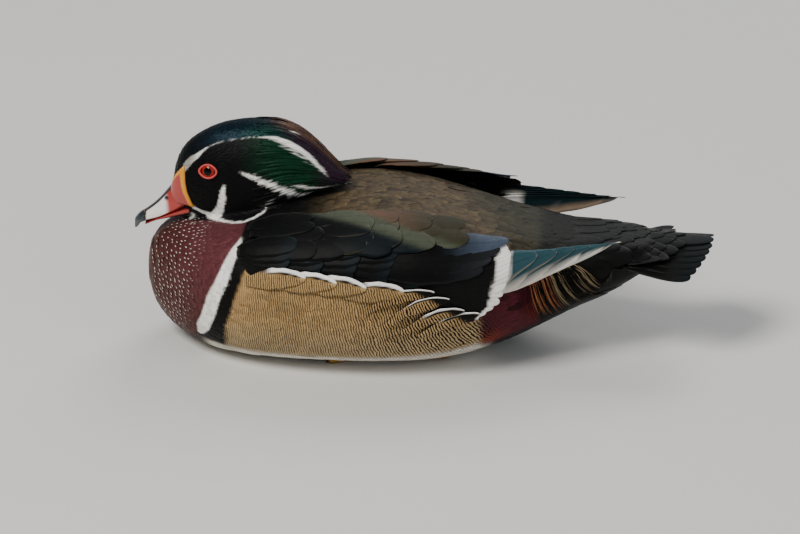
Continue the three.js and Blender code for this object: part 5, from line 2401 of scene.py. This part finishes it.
@dataclass(frozen=True)
class Bill:
    """The bill: upper and lower halves and the nail, painted red, white, yellow and black."""

    nail_back: float = -158.5
    nostril: tuple[float, float, float, float] = (-144.4, 91.0, 1.7, 1.1)
    slant: float = 0.25
    shut: float = 1.1

    def build(self) -> None:
        """Makes the three pieces."""
        horn = HornFinish("bill_horn_paint", 0.34, 700.0, 0.00007, 0.3, 0.22)
        nail = HornFinish("bill_nail_horn", 0.3, 500.0, 0.00005, 0.4, 0.3)
        upper_xs = np.linspace(self.nail_back + 0.05, -131, 80)
        nail_xs = -164.6 + (self.nail_back + 164.6) * np.linspace(0, 1, 24) ** 1.3
        lower_xs = np.linspace(-158, -130, 70)
        lower = lower_bill_form.rings(lower_xs, 56)
        lower[..., 2] += self.shut * ramp(lower_xs, -159, -150)[:, None]
        upper = upper_form_points(upper_xs)
        self._loft("bill_upper_horn", upper, self._upper, horn, Slot.HORN, "bill_upper")
        self._loft("bill_nail_hook", self._hooked(nail_xs), self._nail, nail, Slot.NAIL, "bill_nail")
        self._loft("bill_lower_horn", lower, self._lower, horn, Slot.HORN, "bill_lower")

    def _loft(
        self, name: str, rings: Array, paint: Callable[[Array], Array], finish: HornFinish, slot: Slot,
        node: str,
    ) -> None:
        """Closes rings into one piece.

        Args:
            name: The piece's name.
            rings: Stations by sides by three.
            paint: Gives the colour of each place.
            finish: Its finish.
            slot: Its slot.
            node: The node that it takes the place of.
        """
        rings = self._sunk(rings) if node == "bill_upper" else rings
        first, last = rings[:1].mean(axis=1, keepdims=True), rings[-1:].mean(axis=1, keepdims=True)
        caps = [first + (rings[:1] - first) * k for k in (0.02, 0.5, 0.85)]
        ends = [last + (rings[-1:] - last) * k for k in (0.85, 0.5, 0.02)]
        points = np.concatenate([*caps, rings, *ends])
        rows, columns = points.shape[:2]
        v, u = np.meshgrid(np.linspace(0, 1, columns), np.linspace(0, 1, rows))
        vane = np.stack([v, u], axis=-1)
        batch = Batch()
        colour = paint(points.reshape(-1, 3)).reshape(rows, columns, 3)
        tint = painted(colour, (rows, columns))
        quads = grid_quads(rows, columns, closed=True)
        batch.add(points, quads, tint, vane, Patch.BILL.value + vane * PATCH)
        if node == "bill_upper":
            for side in Side:
                self._flange(batch, side)
        piece = batch.build(name, finish.make(), slot)
        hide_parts(node)

    @staticmethod
    def _flange(batch: Batch, side: Side) -> None:
        """Adds the bare yellow-edged skin that carries the bill up over the face.

        Args:
            batch: The piece that takes it.
            side: The side of the bird.
        """
        rows, columns, first, last = 24, 48, 55, 123
        arc = np.linspace(first, last, columns)[None, :]
        u = np.linspace(0, 1, rows)[:, None]
        rear = read(head_marks.bill_edge, arc)
        x = mix(-140.9, rear, u)
        arcs = np.broadcast_to(arc, x.shape)
        edge = np.minimum.reduce([rear - x, (arcs - first) * 0.22, (last - arcs) * 0.22])
        height = -0.3 + 1.15 * ramp(edge, -0.1, 0.9)
        top = head_form.lifted(x, arcs, side.value, height)
        under = head_form.lifted(x, arcs, side.value, height - 0.7)
        band = ramp(np.minimum(rear - x - 0.012 * (100 - arcs), (arcs - first) * 0.2), 2.3, 1.6)
        colour = mix(Tone.BILL_RED.rgb, Tone.BILL_YELLOW.rgb, band)
        tint = painted(colour, x.shape)
        vane = rows_of((arc - first) / (last - first), u)
        quads = shell_quads(rows, columns, flip=side is Side.LEFT)
        pair = [np.stack([a, a]) for a in (tint, vane)]
        batch.add(np.stack([top, under]), quads, pair[0], pair[1], Patch.FACE.value + pair[1] * PATCH)

    @staticmethod
    def _hooked(xs: Array) -> Array:
        """Rings of the nail, whose lower edge curls down over the tip.

        Args:
            xs: The stations.

        Returns:
            The rings.
        """
        rings = upper_form_points(xs)
        middle = upper_bill_form.at(xs)[2][:, None]
        curl = 2.4 * ramp(rings[..., 0], -160.5, -163.6) * ramp(rings[..., 2] - middle, 1.5, -1.0)
        rings[..., 2] -= curl
        return rings

    def _beside_nostril(self, places: Array) -> Array:
        """How far off a nostril's middle places are, with 1 on its slanting oval rim.

        Args:
            places: Points in millimetres.

        Returns:
            The distances.
        """
        x, z, long, high = self.nostril
        along, up = places[..., 0] - x, places[..., 2] - z
        return np.hypot(along / long, (up - self.slant * along) / high)

    def _sunk(self, rings: Array) -> Array:
        """Sinks the nostrils into the sides.

        Args:
            rings: Stations by sides by three.

        Returns:
            The rings with the hollows.
        """
        out = rings.copy()
        hole = ramp(self._beside_nostril(rings), 1.15, 0.55) * (np.abs(rings[..., 1]) > 1.5)
        out[..., 1] -= np.sign(rings[..., 1]) * hole * 1.5
        return out

    def _upper(self, places: Array) -> Array:
        """The upper half's colours, with painted shade in the nostrils' hollows.

        Args:
            places: Points in millimetres.

        Returns:
            One row of red, green and blue for each place.
        """
        x = places[:, 0]
        arc = upper_bill_form.angle_at(places)
        colour = mix(Tone.BILL_RED.rgb, Tone.BILL_DARK.rgb, ramp(x, -150, -158) * ramp(arc, 60, 90))
        white = ramp(arc, 26, 31) * ramp(arc, 97, 88) * ramp(x - 0.03 * (arc - 60), -142.5, -146)
        colour = mix(colour, Tone.BILL_WHITE.rgb, white * ramp(x, -158.8, -157.6))
        black = ramp(arc, 31, 25) * ramp(x, -160, -156) * ramp(x, -132, -135)
        black = np.maximum(black, ramp(arc, 46, 36) * ramp(x, -139, -136.5) * ramp(x, -132, -135))
        black = np.maximum(black, ramp(x, -156.6, -157.8))
        colour = mix(colour, Tone.BILL_BLACK.rgb, black)
        # Painted shade: near black inside each nostril's hollow, for the depth of the opening.
        return mix(colour, Tone.NOSTRIL.rgb, ramp(self._beside_nostril(places), 1.05, 0.75))

    @staticmethod
    def _nail(places: Array) -> Array:
        """The nail's slate black."""
        share = ramp(places[:, 2], 74, 80)
        return mix(Tone.NAIL_TIP.rgb, Tone.NAIL.rgb, share)

    @staticmethod
    def _lower(places: Array) -> Array:
        """The lower half's colours: red at the edge and black below."""
        arc = lower_bill_form.angle_at(places)
        return mix(Tone.LOWER_RED.rgb, Tone.LOWER_BLACK.rgb, ramp(arc, 75, 95))


def upper_form_points(xs: Array) -> Array:
    """Rings of the upper bill at the stations xs."""
    return upper_bill_form.rings(xs, 72)


@dataclass(frozen=True)
class Foot:
    """One webbed foot folded flat under the belly, with its shank."""

    side: Side
    x: float = -6.0
    y: float = 34.0
    heel: float = 34.0
    spread: float = 24.0
    toes: tuple[float, float, float] = (40.0, 46.0, 38.0)
    shank_radius: float = 2.6

    def build(self) -> None:
        """Makes the webbed toes and the shank."""
        finish = HornFinish(f"foot_{self.side.word}_skin", 0.55, 420.0, 0.00025, 0.1, 0.4)
        self._web(finish)
        self._shank(finish)

    def _web(self, finish: HornFinish) -> None:
        """Three jointed toes with claws and the web between them.

        Args:
            finish: The foot's finish.
        """
        rows, columns = 40, 61
        turns = np.linspace(-1, 1, columns)
        reach = np.interp(turns, [-1, -0.5, 0, 0.5, 1], [self.toes[0], 34, self.toes[1], 36, self.toes[2]])
        s = np.linspace(0.0, 1, rows)
        t = turns[None, :]
        bearing = np.radians(self.spread) * t
        along_toe = s[:, None] * reach[None, :]
        x = self.x + 3 - 3 * s[:, None] - along_toe * np.cos(bearing)
        y = self.y + 4 * t * (1 - s[:, None]) - along_toe * np.sin(bearing) * 0.8
        off = [np.abs(t - k) * (0.25 + s[:, None]) for k in (-0.97, 0, 0.97)]
        toe = np.max([ramp(reach_off, 0.16, 0.05) for reach_off in off], axis=0)
        joints = 0.12 * np.cos(s[:, None] * 30) * toe
        thick = (0.7 + (1.0 + joints) * toe) * ramp(1.02 - s[:, None], 0, 0.1) + 0.08
        middle = np.full_like(x, 1.7)
        top = np.stack([x, self.side.value * y, middle + thick * 0.95], axis=-1)
        under = np.stack([x, self.side.value * y, middle - thick * 0.95], axis=-1)
        vane = rows_of((t + 1) / 2, s[:, None])
        colour = mix(Tone.WEB.rgb, Tone.TOE.rgb, toe)
        colour = mix(colour, Tone.CLAW.rgb, ramp(s[:, None], 0.93, 0.97) * toe)
        tint = painted(colour, x.shape)
        quads = shell_quads(rows, columns, flip=self.side is Side.LEFT)
        batch = Batch()
        pair = [np.stack([a, a]) for a in (tint, vane)]
        batch.add(np.stack([top, under]), quads, pair[0], pair[1], Patch.WEB.value + pair[1] * PATCH)
        piece = batch.build(f"foot_{self.side.word}_web", finish.make(), Slot.FOOT)
        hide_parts(f"foot_{self.side.word}")

    def _shank(self, finish: HornFinish) -> None:
        """The shank, with rings of scutes.

        Args:
            finish: The foot's finish.
        """
        rows, columns = 60, 28
        xs = np.linspace(self.x + 5, self.heel, rows)
        turn = circle(columns)
        scutes = 1 + 0.05 * np.abs(np.sin((xs - xs[0]) * 1.3))
        ends = np.sqrt(np.clip(1 - (np.abs(xs - xs.mean()) / (np.ptp(xs) / 2 + 0.2)) ** 8, 0, 1))
        radius = (self.shank_radius * scutes * ends)[:, None]
        across = self.side.value * (self.y + radius * np.cos(turn))
        ring = rows_of(xs[:, None], across, self.shank_radius + 0.6 + radius * np.sin(turn))
        down = ((xs - xs[0]) / np.ptp(xs))[:, None]
        vane = rows_of(turn / (2 * np.pi), down)
        batch = Batch()
        tint = painted(Tone.SHANK.rgb, ring.shape[:2])
        quads = grid_quads(rows, columns, closed=True)
        batch.add(ring, quads, tint, vane, Patch.SHANK.value + vane * PATCH)
        name = f"leg_{self.side.word}"
        piece = batch.build(f"{name}_shank", finish.make(), Slot.FOOT)
        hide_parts(name)


@dataclass(frozen=True)
class Studio:
    """The floor, the lamps and the camera."""

    azimuth: float = 4.0
    elevation: float = 23.0
    distance: float = 4.0
    lens: float = 290.0
    aim: tuple[float, float, float] = (0.0, 0.0, 0.0466)

    def build(self) -> None:
        """Sets the stage."""
        self._floor()
        self._lamp("key_lamp", (-1.3, -1.5, 2.4), 1.1, 92.0, (1.0, 0.97, 0.93))
        self._lamp("fill_lamp", (1.9, -1.6, 1.2), 2.2, 16.0, (0.93, 0.96, 1.0))
        self._lamp("rim_lamp", (0.6, 1.9, 1.9), 1.4, 28.0, (1.0, 1.0, 1.0))
        self._world()
        self._camera()

    @staticmethod
    def _floor() -> None:
        """A wide plain floor under the bird."""
        mesh = bpy.data.meshes.new("floor")
        reach = 6.0
        corners = [(i * reach, j * reach, -0.0002) for i, j in ((-1, -1), (1, -1), (1, 1), (-1, 1))]
        mesh.from_pydata(corners, [], [(0, 1, 2, 3)])
        floor = placed("floor", mesh)
        mesh.materials.append(FloorFinish().make())

    @staticmethod
    def _lamp(
        name: str, place: tuple[float, float, float], size: float, watts: float,
        colour: tuple[float, float, float],
    ) -> None:
        """One soft square lamp that faces the bird.

        Args:
            name: The lamp's name.
            place: Where it hangs, in metres.
            size: Its width in metres.
            watts: Its power.
            colour: Its light's colour.
        """
        light = bpy.data.lights.new(name, "AREA")
        light.size = size
        light.energy = watts
        light.color = colour
        lamp = placed(name, light)
        lamp.location = place
        lamp.rotation_euler = (Vector((0, 0, 0.06)) - Vector(place)).to_track_quat("-Z", "Y").to_euler()

    @staticmethod
    def _world() -> None:
        """Even pale light from all round."""
        world = bpy.data.worlds.new("studio_world")
        world.use_nodes = True
        background = world.node_tree.nodes["Background"]
        background.inputs["Color"].default_value = (0.86, 0.9, 0.96, 1.0)
        background.inputs["Strength"].default_value = 0.25
        bpy.context.scene.world = world

    def _camera(self) -> None:
        """The camera, from the photograph's side."""
        turn, rise = math.radians(self.azimuth), math.radians(self.elevation)
        away = Vector((math.cos(rise) * math.sin(turn), -math.cos(rise) * math.cos(turn), math.sin(rise)))
        aim = Vector(self.aim)
        lens = bpy.data.cameras.new("camera")
        lens.lens = self.lens
        lens.sensor_width = 36.0
        camera = placed("camera", lens)
        camera.location = aim + away * self.distance
        camera.rotation_euler = (-away).to_track_quat("-Z", "Y").to_euler()
        bpy.context.scene.camera = camera


def main() -> None:
    """Builds every piece in order and reports it."""
    logging.basicConfig(level=logging.INFO, format="%(name)s %(message)s")
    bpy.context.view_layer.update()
    skin = Skin()
    skin.build(body_tint, PlumeFinish("skin_down", 0.7, barbs=1.0).make())
    HeadPlumage().build(skin)
    BodyPlumage().build(skin)
    for side in Side:
        Wing(side).build()
        Shoulder(side).build()
        FlankEdge(side).build()
        RumpPlumes(side).build()
        Eye(side).build()
        Foot(side).build()
    Tail().build()
    Crest().build()
    Bill().build()
    Studio().build()


if __name__ == "__main__":
    main()
